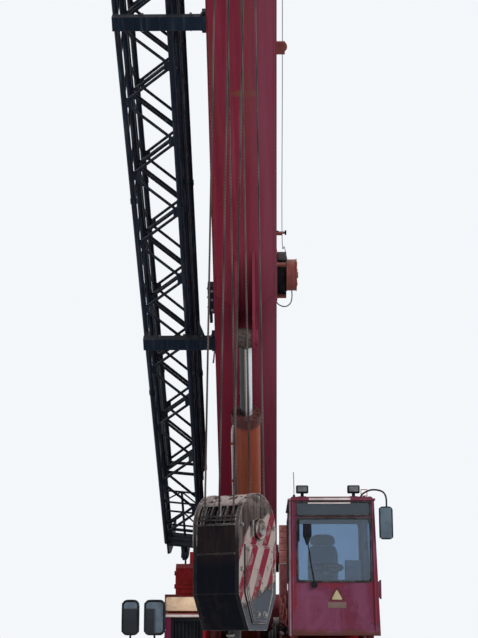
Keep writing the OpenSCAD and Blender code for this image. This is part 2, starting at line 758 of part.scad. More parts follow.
seat_x = cab_x + cab_w * 0.42;
module seat() {
    floor_z = cab_z + cab_wall + seat_gap;
    y = -cab_front + 950;
    color([0.10, 0.10, 0.12]) {
        box([seat_x - 150, seat_x + 150], [y - 150, y + 150], [floor_z, floor_z + 250]);
        box([seat_x - 240, seat_x + 240], [y - 260, y + 240], [floor_z + 250, floor_z + 380]);
        plate_x(seat_x - 210, 420) polygon([[y + 150, floor_z + 380], [y + 250, floor_z + 380],
            [y + 340, floor_z + 1030], [y + 250, floor_z + 1060], [y + 210, floor_z + 1000]]);
    }
}

// Steering wheel on its column, with the consoles beside it
module steering() {
    floor_z = cab_z + cab_wall + seat_gap;
    y = -cab_front + 330;
    color([0.08, 0.08, 0.09]) {
        translate([seat_x, y - 60, floor_z]) cylinder(h = 30, r = 70);
        bar([seat_x, y - 58, floor_z + 12], [seat_x, y + 60, floor_z + 700], 45);
        translate([seat_x, y + 66, floor_z + 712]) rotate([-12, 0, 0]) {
            rotate_extrude($fn = 48) translate([190, 0]) circle(14, $fn = 16);
            for (a = [0, 120, 240]) rotate([0, 0, a]) box([0, 188], [-14, 14], [-8, 8]);
            cylinder(h = 30, r = 50, center = true);
        }
        for (x = [seat_x - 370, seat_x + 270])
            box([x, x + 100], [y + 350, y + 900], [floor_z, floor_z + 560]);
        box([seat_x + 215, seat_x + 380], [y - 220, y - 40], [floor_z, floor_z + 780]);
    }
}

// Work lamps and wiper outside the cab, mirror arm and aerial
module cab_fittings() {
    front = -cab_front;
    roof = cab_z + cab_h;
    color([0.09, 0.09, 0.10]) {
        for (x = [cab_x + 150, cab_x + 730]) {
            box([x - 12, x + 12], [front + 40, front + 70], [roof + seat_gap, roof + 40]);
            box([x - 70, x + 70], [front + 10, front + 80], [roof + 40, roof + 130]);
        }
        bar([cab_x + 60, front + 200, roof + seat_gap], [cab_x + 60, front + 200, roof + 300], 8, $fn = 12);
        box([cab_x + 250, cab_x + 300], [front - 40, front - seat_gap], [cab_z + 530, cab_z + 580]);
        bar([cab_x + 275, front - 25, cab_z + 560], [cab_x + 200, front - 25, cab_z + 1050], 9, $fn = 12);
        box([cab_x + 180, cab_x + 220], [front - 32, front - 18], [cab_z + 940, cab_z + 1240]);
        bar([cab_x + cab_w - 160, front + 60, roof + 12 + seat_gap],
            [cab_x + cab_w + 90, front - 60, roof + 12 + seat_gap], 12, $fn = 16);
        bar([cab_x + cab_w + 90, front - 60, roof + 18], [cab_x + cab_w + 90, front - 60, roof - 120], 12,
            $fn = 16);
        box([cab_x + cab_w + 10, cab_x + cab_w + 150], [front - 70, front - 45], [roof - 480, roof - 119]);
    }
}

// One plate-built boom section: flanges that stand past the webs
module section_tube(i) {
    w = step_w(i) / 2;
    h = step_h(i) / 2;
    translate([0, -section_rear[i], 0]) rotate([90, 0, 0])
        linear_extrude(section_front(i) - section_rear[i]) difference() {
            union() {
                translate([-web_half[i], -h]) square([2 * web_half[i], 2 * h]);
                for (z = [-h, h - flange_t]) translate([-w, z]) square([2 * w, flange_t]);
            }
            translate([-web_half[i] + web_t, -h + flange_t])
                square([2 * (web_half[i] - web_t), 2 * (h - flange_t)]);
        }
}

// Front collar: a frame of bars round the mouth of a section
module collar(i, t, grow) {
    w = step_w(i) / 2;
    h = step_h(i) / 2;
    translate([0, -section_front(i) + t, 0]) rotate([90, 0, 0]) linear_extrude(t) difference() {
        translate([-w - grow, -h - grow]) square([2 * (w + grow), 2 * (h + grow)]);
        translate([-web_half[i] + web_t, -h + flange_t])
            square([2 * (web_half[i] - web_t), 2 * (h - flange_t)]);
    }
}

// Places along the base section of its stiffeners and of the hoist rope's guide rollers
rib_t = [0.255 * base_len, 0.725 * base_len];
guide_t = [800, base_len - 300];

// Base section with its foot, the lift bracket, the underside doubler and the guide rollers
module boom_base() {
    h = base_h / 2;
    foot_half = cheek_gap / 2 - run_gap;
    color([0.55, 0.07, 0.10]) at_boom() {
        difference() {
            union() {
                difference() {
                    section_tube(0);
                    box([-600, 600], [-560, 10], [-base_h, base_h]);
                }
                both_sides() plate_x(web_half[0] - web_t, web_t + 13) union() {
                    circle(200);
                    polygon([[-1200, -h + flange_t], [-1200, h - flange_t], [-560, h - flange_t],
                             [60, 190], [100, -170], [-560, -h + flange_t]]);
                }
                both_sides() bar_x(185, [web_half[0] - web_t, foot_half], 0, 0);
                box([-web_half[0] + 1, web_half[0] - 1], [-585, -560], [-h, h]);
            }
            bar_x(foot_pin_r + seat_gap, [-foot_half - 5, foot_half + 5], 0, 0);
        }
        collar(0, 130, 38);
        for (t = rib_t) collar_rib(t);
        translate([0, 0, -h - 12]) linear_extrude(12.5)
            polygon([[-110, -lift_t - 120], [110, -lift_t - 120], [340, -lift_t - 320],
                     [340, -base_len + 160], [-340, -base_len + 160], [-340, -lift_t - 320]]);
        both_sides() {
            plate_x(rod_r + 10, 30) union() {
                translate([-lift_t, -lift_drop]) circle(125);
                polygon([[-lift_t + 125, -lift_drop], [-lift_t + 125, -h], [-lift_t - 950, -h],
                         [-lift_t - 124, -lift_drop - 10]]);
            }
            bar_x(95, [rod_r + 40, rod_r + 70], -lift_t, -lift_drop);
        }
        for (t = guide_t) {
            both_sides() plate_x(70, 16) polygon([[-t - 90, h - 1], [-t + 90, h - 1], [-t + 40, h + 140],
                                                  [-t - 40, h + 140]]);
            bar_x(35, [-71, 71], -t, h + 95);
        }
    }
}

// Upright stiffener pair welded to the webs
module collar_rib(t) {
    both_sides() box([web_half[0] - 1, web_half[0] + flange_lip - 2], [-t - 12, -t],
        [-base_h / 2 + flange_t - 1, base_h / 2 - flange_t + 1]);
}

module boom_middle() {
    color([0.52, 0.07, 0.10]) at_boom() {
        section_tube(1);
        collar(1, 110, 22);
    }
}

module boom_inner() {
    h = step_h(2) / 2;
    color([0.52, 0.07, 0.10]) at_boom() {
        section_tube(2);
        box([-step_w(2) / 2 - 10, step_w(2) / 2 + 10], [-tip_t - 30, -tip_t], [-h - 20, h + 20]);
    }
}

// Side plates of the boom head, from the tip to the sheave pins and the jib's root pin
jib_pin_r = 28;
module boom_head() {
    h = step_h(2) / 2;
    front = -tip_t - 30;
    color([0.48, 0.07, 0.10]) at_boom() difference() {
        union() {
            both_sides() plate_x(head_plate_in, head_plate_t) union() {
                translate([-head_t, -head_drop]) circle(150);
                translate([-top_sheave_t, top_sheave_n]) circle(120);
                polygon([[front, -h - 20], [front, h], [-top_sheave_t + 60, top_sheave_n + 104],
                         [-top_sheave_t - 118, top_sheave_n - 30], [-top_sheave_t - 60, 0],
                         [-head_t - 149, -head_drop + 15], [-head_t + 120, -head_drop - 90]]);
            }
            box([-head_plate_in, head_plate_in], [-head_t - 60, front], [-60, 20]);
        }
        bar_x(head_shaft + seat_gap, [-400, 400], -head_t, -head_drop);
        bar_x(top_shaft + seat_gap, [-400, 400], -top_sheave_t, top_sheave_n);
        both_sides() bar_x(jib_pin_r, [head_plate_in - 10, 400], -tip_t - 130, -h + 60);
    }
}

// Sliding pads in the mouths of the base and the middle sections
module pad_ring(i) {
    w = step_w(i + 1) / 2;
    h = step_h(i + 1) / 2;
    top = step_h(i) / 2 - flange_t;
    side = web_half[i] - web_t;
    for (z = [-1, 1], x = [-1, 1]) {
        span_z = z > 0 ? [h + 0.5, top - seat_gap] : [-top + seat_gap, -h - 0.5];
        box(x > 0 ? [w - 130, w - 10] : [-w + 10, -w + 130],
            [-section_front(i) + 10, -section_front(i) + 210], span_z);
        box(x > 0 ? [w + 0.5, side - seat_gap] : [-side + seat_gap, -w - 0.5],
            [-section_front(i) + 10, -section_front(i) + 210],
            z > 0 ? [h - 100, h - 0.5] : [-h + 0.5, -h + 100]);
    }
}

module wear_pads() { color([0.85, 0.82, 0.72]) at_boom() pad_ring(0); }
module inner_wear_pads() { color([0.85, 0.82, 0.72]) at_boom() pad_ring(1); }

// Grooved rope sheave turned about X
module sheave(r, shaft) {
    bore = shaft + seat_gap;
    rotate([0, 90, 0]) rotate_extrude()
        polygon([[bore, -38], [90, -38], [95, -14], [r - 30, -12], [r + 25, -24], [r + 25, -20],
                 [r + 4, -12], [r, -8], [r, 8], [r + 4, 12], [r + 25, 20], [r + 25, 24],
                 [r - 30, 12], [95, 14], [90, 38], [bore, 38]]);
}

module head_sheaves() {
    color([0.28, 0.25, 0.24]) at_boom() {
        translate([0, -head_t, -head_drop]) {
            for (i = [-1:1]) translate([i * sheave_pitch, 0, 0]) sheave(sheave_r, head_shaft);
            bar_x(head_shaft, [-head_plate_in - 60, head_plate_in + 60], 0, 0);
        }
        translate([0, -top_sheave_t, top_sheave_n]) {
            sheave(sheave_r - 20, top_shaft);
            bar_x(top_shaft, [-head_plate_in - 50, head_plate_in + 50], 0, 0);
        }
    }
}

// Barrel from its foot eye to the gland, bored for the rod
module lift_barrel() {
    color([0.62, 0.28, 0.12]) at_lift() difference() {
        union() {
            bar_x(128, [-95, 95], 0, 0);
            translate([0, -90, 0]) rotate([90, 0, 0]) cylinder(h = 90, r = 100);
            translate([0, -170, 0]) rotate([90, 0, 0]) cylinder(h = gland_u - 170, r = barrel_r);
            translate([0, -gland_u + 110, 0]) rotate([90, 0, 0]) cylinder(h = 110, r = barrel_r + 14);
        }
        bar_x(60.05, [-100, 100], 0, 0);
        translate([0, -420, 0]) rotate([90, 0, 0]) cylinder(h = gland_u - 420 - 60, r = rod_r + run_gap);
        translate([0, -421, 0]) rotate([90, 0, 0]) cylinder(h = gland_u, r = rod_r + seat_gap);
    }
}

module lift_rod() {
    color([0.80, 0.80, 0.82]) at_lift() {
        translate([0, -1250, 0]) rotate([90, 0, 0]) cylinder(h = lift_len - 1250 - 40, r = rod_r);
        translate([0, -lift_len + 60, 0]) rotate([90, 0, 0]) cylinder(h = 40, r = rod_r + 2);
        bar_x(112, [-rod_r - 4, rod_r + 4], -lift_len, 0);
    }
}

// Two-part lattice jib, its extension folded flat on top: chords run from the narrow tip end
// at s = 0 to the wide root end, with zigzag bracing on every face
jib_start = 165;
jib_end = jib_len - 275;
flat_r = chord_r * cos(22.5);
jib_t = 450;
fold_gap = flat_r + seat_gap / 2;
ext_start = jib_start + 2 * (jib_end - jib_start) / jib_panels;
lug_r = 16;
flat_out = 22.5;
brace_spin = 8;
function jib_half(s) = (jib_tip_w + (jib_root_w - jib_tip_w) * s / jib_len) / 2;
// sx is the side, level 0 the fold between the two parts and level 1 the outer face of one part
function jib_point(s, sx, level, up) =
    [sx * jib_half(s), -s, up * (level == 0 ? fold_gap : jib_half(s))];
function jib_s(k) = jib_start + k * (jib_end - jib_start) / jib_panels;

module at_jib() {
    at_boom() translate([-jib_x, -jib_t, 0]) rotate([0, 0, -jib_lean]) rotate([0, jib_roll, 0]) children();
}

// One part of the jib between two distances, below the fold (up = -1) or above it (up = 1)
module lattice(s0, s1, k0, k1, up) {
    for (sx = [-1, 1], level = [0, 1])
        bar(jib_point(s0, sx, level, up), jib_point(s1, sx, level, up), chord_r, flat_out, $fn = 8);
    for (k = [k0:k1 - 1]) {
        flip = k % 2 == 0 ? -1 : 1;
        for (level = [0, 1])
            bar(jib_point(jib_s(k), flip, level, up), jib_point(jib_s(k + 1), -flip, level, up),
                brace_r, brace_spin, $fn = 6);
        for (sx = [-1, 1])
            bar(jib_point(jib_s(k), sx, 1, up), jib_point(jib_s(k + 1) - 60, sx, 0, up),
                brace_r - 3, brace_spin, $fn = 6);
    }
    for (s = [s0 + 70, s1 - 70]) {
        for (level = [0, 1])
            bar(jib_point(s, -1, level, up), jib_point(s, 1, level, up), brace_r + 4, 0, $fn = 6);
        for (sx = [-1, 1])
            bar(jib_point(s, sx, 0, up), jib_point(s, sx, 1, up), brace_r + 4, 0, $fn = 6);
    }
}

// Lower part with the tip sheave's cheeks and the root lugs
module jib() {
    tip_half = jib_half(0);
    color([0.06, 0.06, 0.08]) at_jib() {
        difference() {
            union() {
                lattice(0, jib_len, 0, jib_panels, -1);
                box([-tip_half, tip_half], [0, 30], [-tip_half - 20, -fold_gap + 20]);
                for (x = [-45, 25])
                    plate_x(x, 20) polygon([[10, -tip_half + 20], [10, -fold_gap - 10], [200, -fold_gap - 60],
                        [260, -tip_half / 2 - 60], [230, -tip_half / 2 - 130], [150, -tip_half + 20]]);
                bar_x(30, [-45, 45], 170, -tip_half / 2 - 30);
                for (sx = [-1, 1], z = [-jib_half(jib_len), -fold_gap])
                    box([sx * jib_half(jib_len) - 25, sx * jib_half(jib_len) + 25],
                        [-jib_len - 130, -jib_len + 40], [z - 28, z + 28]);
            }
            for (sx = [-1, 1], z = [-jib_half(jib_len), -fold_gap])
                bar_x(lug_r, [sx * jib_half(jib_len) - 40, sx * jib_half(jib_len) + 40], -jib_len - 95, z);
        }
        difference() {
            bar_x(140, [-20, 20], 170, -tip_half / 2 - 30);
            for (sx = [-1, 1]) bar_x(118, sx < 0 ? [-21, -9] : [9, 21], 170, -tip_half / 2 - 30);
        }
    }
}

// Upper part, folded onto the lower one
module jib_extension() {
    color([0.06, 0.06, 0.08]) at_jib() lattice(ext_start - 120, jib_len - 500, 2, jib_panels - 2, 1);
}

// Two carrying beams from the boom's web out under the jib, each with two saddles, and the stowing latch
bracket_t = [lift_t - 340, 0.755 * base_len];
roll_reach = cos(jib_roll) + sin(jib_roll);
beam_n = jib_half(bracket_t[1]) * roll_reach + chord_r + 5;
function beam_end(t) = -jib_x - (t - jib_t) * sin(jib_lean) - jib_half(t) * roll_reach - chord_r / 2;
module jib_brackets() {
    web = -web_half[0] - seat_gap;
    flange = -base_w / 2 - seat_gap;
    color([0.05, 0.05, 0.07]) {
        at_boom() for (t = bracket_t) {
            box([beam_end(t), flange], [-t - 75, -t + 75], [-beam_n - 90, -beam_n]);
            box([web - 60, web], [-t - 110, -t + 110], [-base_h / 2 + flange_t + 1, -beam_n + 60]);
        }
        for (t = bracket_t) intersection() {
            s = (t - jib_t) / cos(jib_lean);
            top = -jib_half(s + 60) - flat_r - seat_gap;
            at_jib() for (sx = [-1, 1])
                box([sx * jib_half(s) - 45, sx * jib_half(s) + 45], [-s - 60, -s + 60],
                    [top - (sx < 0 ? 175 : 90), top]);
            at_boom() box([beam_end(t), flange], [-t - 75, -t + 75], [-beam_n - 89, 0]);
        }
        at_boom() {
            box([web - 100, web], [-lift_t - 320, -lift_t + 50], [-230, -110]);
            box([web - 85, web - 50], [-lift_t + 49, -lift_t + 200], [-200, -150]);
        }
    }
}

// Length-sensor reel on the boom's left web, with its two cable guides
reel_t = lift_t + 340;
guides = [reel_t + 580, reel_t + 2840];
module cable_reel() {
    x0 = web_half[0] + seat_gap;
    color([0.10, 0.09, 0.10]) at_boom() {
        box([x0, x0 + 30], [-reel_t - 240, -reel_t + 240], [-200, 200]);
        box([x0 + 29, x0 + 130], [-reel_t - 230, -reel_t - 200], [-150, 150]);
        box([x0 + 29, x0 + 130], [-reel_t + 200, -reel_t + 230], [-150, 150]);
        bar_x(40, [x0 + 29, x0 + 140], -reel_t, 0);
        bar_x(185, [x0 + 140, x0 + 255], -reel_t, 0);
        box([x0, x0 + 90], [-guides[0] - 15, -guides[0] + 15], [-60, -20]);
        box([x0, x0 + 110], [-guides[1] - 70, -guides[1] + 70], [-70, -40]);
        translate([x0 + 80, -guides[1], -39.5]) cylinder(h = 40, r = 55);
    }
}

function turned(p, a) = [p[0] * cos(a) - p[1] * sin(a), p[0] * sin(a) + p[1] * cos(a)];

// Rope falls from the head sheaves down to the hook block's sheaves
module hoist_falls() {
    color([0.14, 0.13, 0.13]) for (i = [-1:1], s = [-1, 1]) {
        top = [i * sheave_pitch, s * fall_r];
        low = turned(top, -block_turn);
        bar([top[0], head_pin[0] + top[1], head_pin[1]], [low[0], head_pin[0] + low[1], block_z], rope_r,
            $fn = 16);
    }
}

// Cheek plates of the hook block, with its covers, the plates between the sheaves and the crosshead
cheek_round = sheave_r + 50;
cover_t = 16;
module cheek_profile() {
    circle(cheek_round, $fn = 64);
    polygon([[-cheek_round, 0], [-cheek_round, -480], [-130, -740], [130, -740], [cheek_round, -480],
             [cheek_round, 0]]);
}

module block_cheeks() {
    inner = block_half - block_plate;
    color([0.10, 0.10, 0.11]) at_block() difference() {
        union() {
            both_sides() {
                plate_x(inner, block_plate) cheek_profile();
                plate_x(block_half - 1, 16) polygon([[-200, -120], [-200, -470], [-95, -690], [95, -690],
                    [200, -470], [200, -120]]);
                plate_x(sheave_pitch / 2 - 5, 10) circle(cheek_round - 8, $fn = 64);
                bar_x(75, [block_half - 1, block_half + 30], 0, 0);
            }
            for (e = [-1, 1]) {
                plate_x(-inner - 1, 2 * inner + 2) polygon([[e * cheek_round, 30],
                    [e * (cheek_round - cover_t), 30], [e * (cheek_round - cover_t), -476],
                    [e * 116, -730], [e * 130, -740], [e * cheek_round, -480]]);
                bar_x(9, [-inner - 1, inner + 1], e * (cheek_round - 10), 58);
            }
            box([-inner - 1, inner + 1], [-95, 95], [-690, -560]);
            bar_x(head_shaft, [-block_half - 20, block_half + 20], 0, 0);
        }
        translate([0, 0, -700]) cylinder(h = 200, r = 46 + seat_gap);
    }
}

module block_sheaves() {
    color([0.30, 0.27, 0.26]) at_block()
        for (i = [-1:1]) translate([i * sheave_pitch, 0, 0]) sheave(sheave_r, head_shaft);
}

// Forged single hook: bowl, tapered tip, shank with its nut
module crane_hook() {
    bowl_r = 95;
    thick = 42;
    bowl_z = -950;
    from_angle = 96;
    sweep = 262;
    color([0.18, 0.17, 0.17]) at_block() {
        translate([0, 0, bowl_z + bowl_r]) cylinder(h = 360, r = thick + 4);
        translate([0, 0, bowl_z + bowl_r]) sphere(thick + 22);
        translate([0, 0, -559]) cylinder(h = 70, r = 80);
        translate([0, 0, bowl_z]) rotate([90, 0, 0]) rotate([0, 0, from_angle]) {
            rotate_extrude(angle = sweep) translate([bowl_r, 0]) circle(thick);
            rotate([0, 0, sweep]) translate([bowl_r, -3, 0]) rotate([-90, 0, 0])
                cylinder(h = 63, r1 = thick - 1, r2 = thick * 0.5);
        }
    }
}

car_body();
slewing_ring();
track_frame_left();
track_frame_right();
track_left();
track_right();
track_rollers();
sprockets();
idlers();
final_drives();
turntable_frame();
boom_pins();
deck();
counterweight();
engine_hood();
engine();
side_tank();
front_housing();
front_grille();
side_mirrors();
winch_mounts();
winch_drum();
cab_shell();
cab_glass();
cab_door();
cab_door_glass();
seat();
steering();
cab_fittings();
boom_base();
boom_middle();
boom_inner();
boom_head();
wear_pads();
inner_wear_pads();
head_sheaves();
lift_barrel();
lift_rod();
jib();
jib_extension();
jib_brackets();
cable_reel();
hoist_falls();
block_cheeks();
block_sheaves();
crane_hook();
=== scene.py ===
import math

import bmesh
import bpy
from mathutils import Matrix, Vector


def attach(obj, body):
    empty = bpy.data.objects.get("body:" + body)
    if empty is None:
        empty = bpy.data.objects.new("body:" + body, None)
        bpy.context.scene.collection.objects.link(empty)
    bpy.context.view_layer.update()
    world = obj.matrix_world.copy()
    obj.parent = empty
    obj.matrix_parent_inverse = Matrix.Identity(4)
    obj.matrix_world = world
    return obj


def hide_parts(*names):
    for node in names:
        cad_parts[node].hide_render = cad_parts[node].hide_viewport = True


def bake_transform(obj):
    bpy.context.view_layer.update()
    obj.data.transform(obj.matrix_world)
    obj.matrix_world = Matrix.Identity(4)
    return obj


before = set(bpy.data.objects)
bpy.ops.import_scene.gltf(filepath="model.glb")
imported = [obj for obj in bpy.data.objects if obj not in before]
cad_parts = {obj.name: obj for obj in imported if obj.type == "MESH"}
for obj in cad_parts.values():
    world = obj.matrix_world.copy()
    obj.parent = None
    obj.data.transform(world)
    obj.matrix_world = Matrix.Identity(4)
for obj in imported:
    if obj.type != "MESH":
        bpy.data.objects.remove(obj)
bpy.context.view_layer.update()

# Where the crane is looked at from
# The eye stands 1.6 m above the ground and 17.5 m ahead of the slewing axis, looking up along the
# boom by 13 degrees. The picture's height of 638 pixels takes the whole sensor.
eye_place = (0.248, -17.5, 1.6)
look_up = math.radians(13.05)
look_left = math.radians(1.2)
focal_pixels, picture_pixels = 1359.0, 638.0
sensor = 36.0
camera = bpy.data.objects.new("camera", bpy.data.cameras.new("camera"))
camera.data.sensor_width = sensor
camera.data.lens = sensor * focal_pixels / picture_pixels
camera.data.clip_end = 600.0
camera.location = eye_place
camera.rotation_euler = (math.pi / 2 + look_up, 0.0, look_left)
bpy.context.scene.collection.objects.link(camera)
bpy.context.scene.camera = camera
bpy.context.scene.view_settings.view_transform = "Standard"


# Yard and light
# A plain pale floor, one broad soft lamp high in front on the cab's side, a weaker one behind on
# the jib's side, and an even pale sky that the camera, metal and glass see as nearly white.
def step(tree, kind, inputs=None, **settings):
    """Adds one node, sets it and links or fills its inputs."""
    node = tree.nodes.new("ShaderNode" + kind)
    for key, value in settings.items():
        setattr(node, key, value)
    for key, value in (inputs or {}).items():
        if isinstance(value, bpy.types.NodeSocket):
            tree.links.new(value, node.inputs[key])
        else:
            node.inputs[key].default_value = value
    return node


def maths(tree, operation, *values):
    """One step of arithmetic on the shader's values."""
    return step(tree, "Math", dict(enumerate(values)), operation=operation).outputs[0]


def new_finish(name):
    """A material and its node tree."""
    material = bpy.data.materials.new(name)
    material.use_nodes = True
    return material, material.node_tree


def look(tree, colour, rough=None, metal=None, shine=None, relief=None):
    """Links or sets what the shader shows; relief is height, strength and distance."""
    shader = tree.nodes["Principled BSDF"]
    if relief:
        bump = step(tree, "Bump", dict(zip(("Height", "Strength", "Distance"), relief)))
        tree.links.new(bump.outputs[0], shader.inputs["Normal"])
    for key, value in (("Base Color", colour), ("Roughness", rough), ("Metallic", metal),
                       ("Specular IOR Level", shine)):
        if isinstance(value, bpy.types.NodeSocket):
            tree.links.new(value, shader.inputs[key])
        elif value is not None:
            shader.inputs[key].default_value = value


def seen_share(tree):
    """1 for what the camera, a reflection or a pane of glass sees, 0 for light on the crane."""
    path = step(tree, "LightPath")
    either = maths(tree, "MAXIMUM", path.outputs["Is Camera Ray"], path.outputs["Is Glossy Ray"])
    return maths(tree, "MAXIMUM", either, path.outputs["Is Transmission Ray"])


sky = bpy.data.worlds.new("sky")
sky.use_nodes = True
bpy.context.scene.world = sky
tree = sky.node_tree
tree.nodes.clear()
sky_light = step(tree, "Background", {"Color": (0.86, 0.93, 1.0, 1), "Strength": 0.52})
sky_seen = step(tree, "Background", {"Color": (0.9, 0.93, 0.96, 1), "Strength": 1.0})
sky_mix = step(tree, "MixShader", {0: seen_share(tree), 1: sky_light.outputs[0], 2: sky_seen.outputs[0]})
sky_out = tree.nodes.new("ShaderNodeOutputWorld")
tree.links.new(sky_mix.outputs[0], sky_out.inputs[0])

for lamp_name, power, spread, aim in (("front_lamp", 2.1, 24, (-0.7, 0.52, -0.5)),
                                      ("back_lamp", 0.5, 40, (0.55, -0.6, -0.58))):
    lamp = bpy.data.objects.new(lamp_name, bpy.data.lights.new(lamp_name, "SUN"))
    lamp.data.energy = power
    lamp.data.angle = math.radians(spread)
    lamp.rotation_mode = "QUATERNION"
    lamp.rotation_quaternion = Vector(aim).to_track_quat("-Z", "Y")
    bpy.context.scene.collection.objects.link(lamp)

floor_reach = 260.0
floor_mesh = bpy.data.meshes.new("floor")
floor_sides, floor_under = 120, -0.001
floor_turns = [2 * math.pi * k / floor_sides for k in range(floor_sides)]
floor_mesh.from_pydata([(floor_reach * math.cos(a), floor_reach * math.sin(a), floor_under)
                        for a in floor_turns], [], [tuple(range(floor_sides))])
floor = bpy.data.objects.new("floor", floor_mesh)
bpy.context.scene.collection.objects.link(floor)
floor_paint, tree = new_finish("floor_paint")
look(tree, (0.8, 0.8, 0.79, 1), 0.9)
floor.data.materials.append(floor_paint)


# Car body and track frames
# Box beams of welded plate under thick deep red paint, dusty and scraped, rusting at the edges.
# Covers are bolted on the frames' outer sides, and two hydraulic hoses run to each drive motor.
track_half, frame_half = 1.3, 0.15
wheel_y, wheel_z = 2.125, 0.475


def colour_of(tree):
    """What the shader's colour comes from so far."""
    return tree.nodes["Principled BSDF"].inputs["Base Color"].links[0].from_socket


def parts(tree, place):
    """The three ways of a place or a normal."""
    return step(tree, "SeparateXYZ", {0: place}).outputs


def tinted(tree, share, under, over):
    """Colour over another, by a share."""
    mix = step(tree, "Mix", data_type="RGBA", blend_type="MIX")
    for index, value in ((0, share), (6, under), (7, over)):
        if isinstance(value, bpy.types.NodeSocket):
            tree.links.new(value, mix.inputs[index])
        else:
            mix.inputs[index].default_value = value if index == 0 else (*value, 1)
    return mix.outputs[2]


def cut(tree, value, low, high, to_low=0.0, to_high=1.0):
    """Clamped straight line from one range to another."""
    return step(tree, "MapRange", {"Value": value, "From Min": low, "From Max": high, "To Min": to_low,
                                   "To Max": to_high}).outputs[0]


def times(tree, a, b):
    """Product of two shares."""
    return maths(tree, "MULTIPLY", a, b)


def speckle(tree, place, scale, detail=4.0, rough=0.55, twist=0.0):
    """Noise at a place, about 0.5 on average."""
    return step(tree, "TexNoise", {"Vector": place, "Scale": scale, "Detail": detail, "Roughness": rough,
                                   "Distortion": twist}).outputs[0]


def spots(tree, place, noise, *limits):
    """Share that follows a noise of some scale, detail and roughness between two limits."""
    return cut(tree, speckle(tree, place, *noise), *limits)


def placed(tree, turn=(0, 0, 0), scale=(1, 1, 1), shift=(0, 0, 0)):
    """The piece's own place, as seen from a frame that is shifted and turned, then stretched."""
    coordinates = step(tree, "TexCoord")
    return step(tree, "Mapping", {"Vector": coordinates.outputs["Object"], "Rotation": turn,
                                  "Location": shift, "Scale": tuple(1.0 / s for s in scale)},
                vector_type="TEXTURE").outputs[0]


def worn_edges(tree, reach=0.012):
    """1 along sharp outer edges, from how a rounded normal differs from the face's own."""
    softened = step(tree, "Bevel", {"Radius": reach}, samples=4)
    true_normal = step(tree, "NewGeometry").outputs["Normal"]
    alike = step(tree, "VectorMath", {0: softened.outputs[0], 1: true_normal},
                 operation="DOT_PRODUCT").outputs["Value"]
    return cut(tree, alike, 0.995, 0.9)


def upward(tree):
    """1 on faces that look up, where dust settles."""
    normal = step(tree, "TexCoord").outputs["Normal"]
    return cut(tree, parts(tree, normal)[2], 0.45, 0.95)


rust_dark = (0.085, 0.03, 0.014)
rust_light = (0.26, 0.095, 0.035)
dust_colour = (0.34, 0.29, 0.24)


def paint(name, colour, faded, rust, dust, gloss, turn=(0, 0, 0), along=(6, 0.5, 6), edge=0.8, shine=0.3):
    """Weathered paint on steel plate: faded clouds, run marks along one way, rust and dust."""
    mat, tree = new_finish(name)
    place = placed(tree, turn)
    clouds = speckle(tree, place, 0.8, 5.0, 0.6)
    colour_now = tinted(tree, cut(tree, clouds, 0.36, 0.66), colour, faded)
    runs = speckle(tree, placed(tree, turn, along), 1.6, 6.0, 0.65)
    darker = tuple(c * 0.55 for c in colour)
    colour_now = tinted(tree, cut(tree, runs, 0.5, 0.72, 0.0, 0.75), colour_now, darker)
    paler = tuple(min(1.0, c * 1.25 + 0.03) for c in faded)
    colour_now = tinted(tree, cut(tree, runs, 0.46, 0.28, 0.0, 0.55), colour_now, paler)
    patches = spots(tree, place, (1.7, 3.0, 0.6, 0.6), 0.48, 0.7)
    flecks = spots(tree, place, (34.0, 8.0, 0.72), 0.6 - 0.1 * rust, 0.66)
    flaked = times(tree, patches, flecks)
    edges = times(tree, worn_edges(tree), spots(tree, place, (14.0, 6.0, 0.7), 0.42, 0.62, 0.0, edge))
    rusty = maths(tree, "MAXIMUM", times(tree, flaked, rust), edges)
    rust_mix = tinted(tree, spots(tree, place, (60.0, 4.0), 0.35, 0.65), rust_dark, rust_light)
    colour_now = tinted(tree, rusty, colour_now, rust_mix)
    settled = times(tree, upward(tree), spots(tree, place, (3.0, 6.0), 0.35, 0.7, 0.1, dust))
    colour_now = tinted(tree, settled, colour_now, dust_colour)
    rougher = maths(tree, "ADD", cut(tree, runs, 0.3, 0.7, gloss - 0.06, gloss + 0.16),
                    times(tree, rusty, 0.4))
    dents = maths(tree, "SUBTRACT", speckle(tree, place, 4.0, 3.0), times(tree, rusty, 0.35))
    look(tree, colour_now, rougher, shine=shine, relief=(dents, 0.25, 0.006))
    return mat


def loft(mesh, rings, place=None):
    """Skin over rings that have as many corners each, closed at both ends."""
    rows = [[mesh.verts.new(place @ Vector(p) if place is not None else p) for p in ring] for ring in rings]
    corners = len(rows[0])
    for one, two in zip(rows, rows[1:]):
        for k in range(corners):
            n = (k + 1) % corners
            mesh.faces.new((one[k], one[n], two[n], two[k]))
    mesh.faces.new(list(reversed(rows[0])))
    mesh.faces.new(rows[-1])


def about(middle, reach):
    """Two limits about a middle."""
    return middle - reach, middle + reach


def plate(mesh, x, y, z, place=None, edge=0.004):
    """Box between two limits of each way, with rounded edges."""
    middle = Vector(((x[0] + x[1]) / 2, (y[0] + y[1]) / 2, (z[0] + z[1]) / 2))
    size = Matrix.Diagonal((abs(x[1] - x[0]), abs(y[1] - y[0]), abs(z[1] - z[0]), 1))
    block = bmesh.new()
    bmesh.ops.create_cube(block, size=1.0, matrix=Matrix.Translation(middle) @ size)
    bmesh.ops.bevel(block, geom=block.edges[:], offset=edge, segments=2, affect="EDGES", profile=0.6)
    if place is not None:
        bmesh.ops.transform(block, matrix=place, verts=block.verts)
    part = bpy.data.meshes.new("part")
    block.to_mesh(part)
    block.free()
    mesh.from_mesh(part)
    bpy.data.meshes.remove(part)


